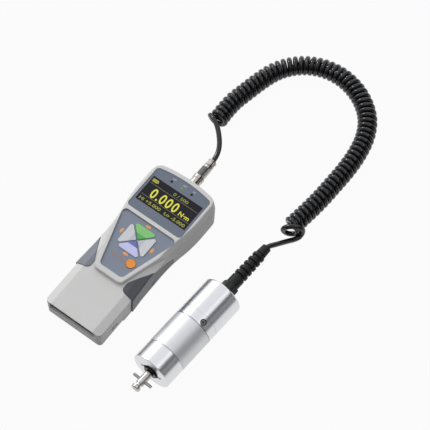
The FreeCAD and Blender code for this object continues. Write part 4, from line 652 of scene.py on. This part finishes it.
# Steel pieces: drive shaft with its cross pin, the bearing, the sprung torsion bar, and the screws of the
# case and the nose. Ground or turned steel, a little darker than the barrel, with a fine worked grain.
painted_recess_shade_starts = -0.0030
painted_recess_shade_ends = -0.0026
steel = Finish("turned_steel", Metallic=1.0)
steel_marks = steel.noise(700.0, 3.0)
steel.colour(steel.blend(steel.noise(120.0, 3.0), (0.42, 0.41, 0.40, 1.0), (0.54, 0.53, 0.52, 1.0)))
steel.roughness(0.24 + 0.18 * steel_marks)
steel.relief(steel_marks, 0.00002, 0.4)
steel.on("case_screws", "cross_pin", "torsion_bar", "nose_screws", "bearing_outer_race",
         "bearing_inner_race", "bearing_balls")
shaft = Finish("drive_shaft", Metallic=1.0)
# Painted shade: the drive shaft is dark from just before the nose's face inward, as shade in the nose's
# recess.
painted_recess_shade = shaft.band(down_the_barrel(shaft), painted_recess_shade_starts, painted_recess_shade_ends)
bright_shaft = shaft.blend(shaft.noise(120.0, 3.0), (0.50, 0.47, 0.45, 1.0), (0.62, 0.59, 0.56, 1.0))
shaft.colour(shaft.blend(painted_recess_shade, bright_shaft, (0.035, 0.035, 0.038, 1.0)))
shaft.roughness(0.22 + 0.15 * shaft.noise(700.0, 3.0))
shaft.relief(shaft.noise(700.0, 3.0), 0.00002, 0.4)
shaft.on("torque_shaft")


# Cable gland, bend relief and the nose's dust seal. Black nylon nut, and soft black elastomer ribs that
# let the cable bend gently where it leaves the sensor.
relief_rubber = Finish("relief_rubber", IOR=1.36)
relief_rubber.colour(relief_rubber.blend(relief_rubber.noise(90.0, 3.0), grey(0.007), grey(0.012)))
relief_rubber.roughness(0.38 + 0.2 * relief_rubber.noise(500.0, 3.0))
relief_rubber.relief(relief_rubber.noise(1600.0, 2.0), 0.00004, 0.5)
relief_rubber.on("strain_relief_boot", "nose_seal")
nylon = Finish("black_nylon", IOR=1.38)
nylon.colour(nylon.blend(nylon.noise(70.0, 3.0), grey(0.010), grey(0.016)))
nylon.roughness(0.36 + 0.16 * nylon.noise(900.0, 2.0))
nylon.relief(nylon.noise(2200.0, 2.0), 0.00003, 0.5)
nylon.on("cable_gland")


# Circuit boards. Green solder mask over copper tracks, with rows of tinned pads along them.
board = Finish("circuit_board", IOR=1.5, Coat_Weight=0.3)
tracks = board.node("ShaderNodeTexBrick", {"offset": 0.5},
                    {"Vector": board.place(), "Scale": 90.0, "Mortar Size": 0.09, "Brick Width": 0.9,
                     "Row Height": 0.12}, output="Fac")
pad_reach = 0.16
pads = board.node("ShaderNodeTexVoronoi", {"feature": "F1", "distance": "CHEBYCHEV"},
                  {"Vector": board.place(), "Scale": 320.0, "Randomness": 0.25}) < pad_reach
mask = board.blend(tracks, (0.010, 0.105, 0.036, 1.0), (0.022, 0.17, 0.055, 1.0))
board.colour(board.blend(pads, mask, (0.52, 0.50, 0.46, 1.0)))
board.roughness(0.3 + 0.1 * pads + 0.1 * board.noise(400.0))
board.relief(tracks + pads, 0.00004, 0.5)
board.on("display_board", "key_board", "main_board", "sensor_board")


# Battery in its blue shrink sleeve, the brass inserts in the back, and the strain gauges' foil on the
# torsion bar.
sleeve = Finish("shrink_sleeve", IOR=1.5, Coat_Weight=0.4, Coat_Roughness=0.2)
wrinkle = sleeve.noise(160.0, 3.0, (1.0, 0.25, 1.0))
sleeve.colour(sleeve.blend(wrinkle, (0.012, 0.055, 0.19, 1.0), (0.020, 0.085, 0.27, 1.0)))
sleeve.roughness(0.25 + 0.15 * wrinkle)
sleeve.relief(wrinkle, 0.0002, 0.4)
sleeve.on("battery_pack")
brass = Finish("insert_brass", Metallic=1.0)
brass.colour(brass.blend(brass.noise(500.0, 3.0), (0.62, 0.42, 0.16, 1.0), (0.74, 0.52, 0.22, 1.0)))
brass.roughness(0.25 + 0.2 * brass.noise(800.0, 2.0))
brass.relief(brass.noise(1500.0, 2.0), 0.00003, 0.5)
brass.on("mount_inserts")
foil = Finish("gauge_foil", IOR=1.5)
grid = foil.node("ShaderNodeTexWave", {"wave_type": "BANDS", "bands_direction": "Y"},
                 {"Vector": foil.place(), "Scale": 900.0})
foil.colour(foil.blend(grid > 0.5, (0.36, 0.19, 0.04, 1.0), (0.55, 0.36, 0.20, 1.0)))
foil.roughness(0.35 + 0.1 * foil.noise(800.0))
foil.relief(grid, 0.00002, 0.4)
foil.on("strain_gauges")


# Table and light. A matt grey floor that keeps a faint shadow and is white to the camera. The room is a
# light tent: bright cloth low on the left, even cloth overhead, a bright strip, then a dark flag and dim
# cloth down the right. A small lamp on the left adds glints.
def white_to_rays(tree, surface, white, shares):
    """Shows plain white to the given kinds of ray, each by its share, and the given surface to the rest."""
    path = tree.nodes.new("ShaderNodeLightPath")
    mixed = tree.nodes.new("ShaderNodeMixShader")
    reached_by = 0.0
    for kind, share in shares.items():
        part = tree.nodes.new("ShaderNodeMath")
        part.operation = "MULTIPLY_ADD"
        tree.links.new(path.outputs[kind], part.inputs[0])
        part.inputs[1].default_value = share
        if reached_by:
            tree.links.new(reached_by, part.inputs[2])
        else:
            part.inputs[2].default_value = 0.0
        reached_by = part.outputs[0]
    tree.links.new(reached_by, mixed.inputs[0])
    tree.links.new(surface.outputs[0], mixed.inputs[1])
    tree.links.new(white.outputs[0], mixed.inputs[2])
    return mixed


table_finish = bpy.data.materials.new("pale_table")
table_finish.use_nodes = True
table_tree = table_finish.node_tree
matt = table_tree.nodes.new("ShaderNodeBsdfDiffuse")
matt.inputs["Color"].default_value = grey(0.33)
glow = table_tree.nodes.new("ShaderNodeEmission")
glow.inputs["Color"].default_value = grey(1.0)
glow.inputs["Strength"].default_value = 1.0
table_mix = white_to_rays(table_tree, matt, glow, {"Is Camera Ray": 0.95, "Is Glossy Ray": 0.9,
                                                   "Is Transmission Ray": 0.95})
table_tree.links.new(table_mix.outputs[0], table_tree.nodes["Material Output"].inputs["Surface"])
table_mesh = bpy.data.meshes.new("table")
table_half = 3
table_mesh.from_pydata([(-table_half, -table_half, 0), (table_half, -table_half, 0),
                        (table_half, table_half, 0), (-table_half, table_half, 0)], [], [(0, 1, 2, 3)])
table_mesh.materials.append(table_finish)
table = bpy.data.objects.new("table", table_mesh)
bpy.context.collection.objects.link(table)

tent_cloths = [(-95.0, 0.75), (-80.0, 1.00), (-72.0, 1.50), (-50.0, 1.15), (-35.0, 0.90), (19.0, 0.88),
               (24.0, 1.30), (34.0, 1.30), (38.0, 0.10), (56.0, 0.10), (62.0, 0.36), (80.0, 0.18),
               (95.0, 0.12)]
cloth_warmth = -0.02
room = bpy.data.worlds.new("room")
bpy.context.scene.world = room
room.use_nodes = True
room_tree = room.node_tree
tent = room_tree.nodes["Background"]
direction = room_tree.nodes.new("ShaderNodeTexCoord")
parts = room_tree.nodes.new("ShaderNodeSeparateXYZ")
room_tree.links.new(direction.outputs["Generated"], parts.inputs[0])
lean = room_tree.nodes.new("ShaderNodeMath")
lean.operation = "ARCTAN2"
room_tree.links.new(parts.outputs["X"], lean.inputs[0])
room_tree.links.new(parts.outputs["Z"], lean.inputs[1])
turned_share = room_tree.nodes.new("ShaderNodeMapRange")
turned_share.inputs["From Min"].default_value = -math.pi
turned_share.inputs["From Max"].default_value = math.pi
room_tree.links.new(lean.outputs[0], turned_share.inputs["Value"])
cloths = room_tree.nodes.new("ShaderNodeValToRGB")
for place, level in tent_cloths[2:]:
    cloths.color_ramp.elements.new(place / 360.0 + 0.5)
for stop, (place, level) in zip(cloths.color_ramp.elements, tent_cloths):
    stop.position = place / 360.0 + 0.5
    stop.color = grey(level, cloth_warmth)
room_tree.links.new(turned_share.outputs[0], cloths.inputs[0])
room_tree.links.new(cloths.outputs[0], tent.inputs["Color"])
open_front = room_tree.nodes.new("ShaderNodeMapRange")
open_front.interpolation_type = "SMOOTHSTEP"
for socket, value in (("From Min", -0.75), ("From Max", -0.15), ("To Min", 0.25), ("To Max", 1.08)):
    open_front.inputs[socket].default_value = value
room_tree.links.new(parts.outputs["Y"], open_front.inputs["Value"])
room_tree.links.new(open_front.outputs[0], tent.inputs["Strength"])
white_room = room_tree.nodes.new("ShaderNodeBackground")
white_room.inputs["Color"].default_value = grey(1.0)
white_room.inputs["Strength"].default_value = 1.0
room_mix = white_to_rays(room_tree, tent, white_room, {"Is Camera Ray": 1.0, "Is Transmission Ray": 1.0})
room_tree.links.new(room_mix.outputs[0], room_tree.nodes["World Output"].inputs["Surface"])

window_lamp = bpy.data.lights.new("window_lamp", "AREA")
window_lamp.size = 0.2
window_lamp.energy = 4.4
lamp_place = Vector((-1.1, 0.45, 0.85))
lamp_aim = Vector((0.04, 0.05, 0.0))
lamp_made = bpy.data.objects.new("window_lamp", window_lamp)
lamp_made.location = lamp_place
lamp_made.rotation_mode = "QUATERNION"
lamp_made.rotation_quaternion = (lamp_aim - lamp_place).to_track_quat("-Z", "Y")
bpy.context.collection.objects.link(lamp_made)
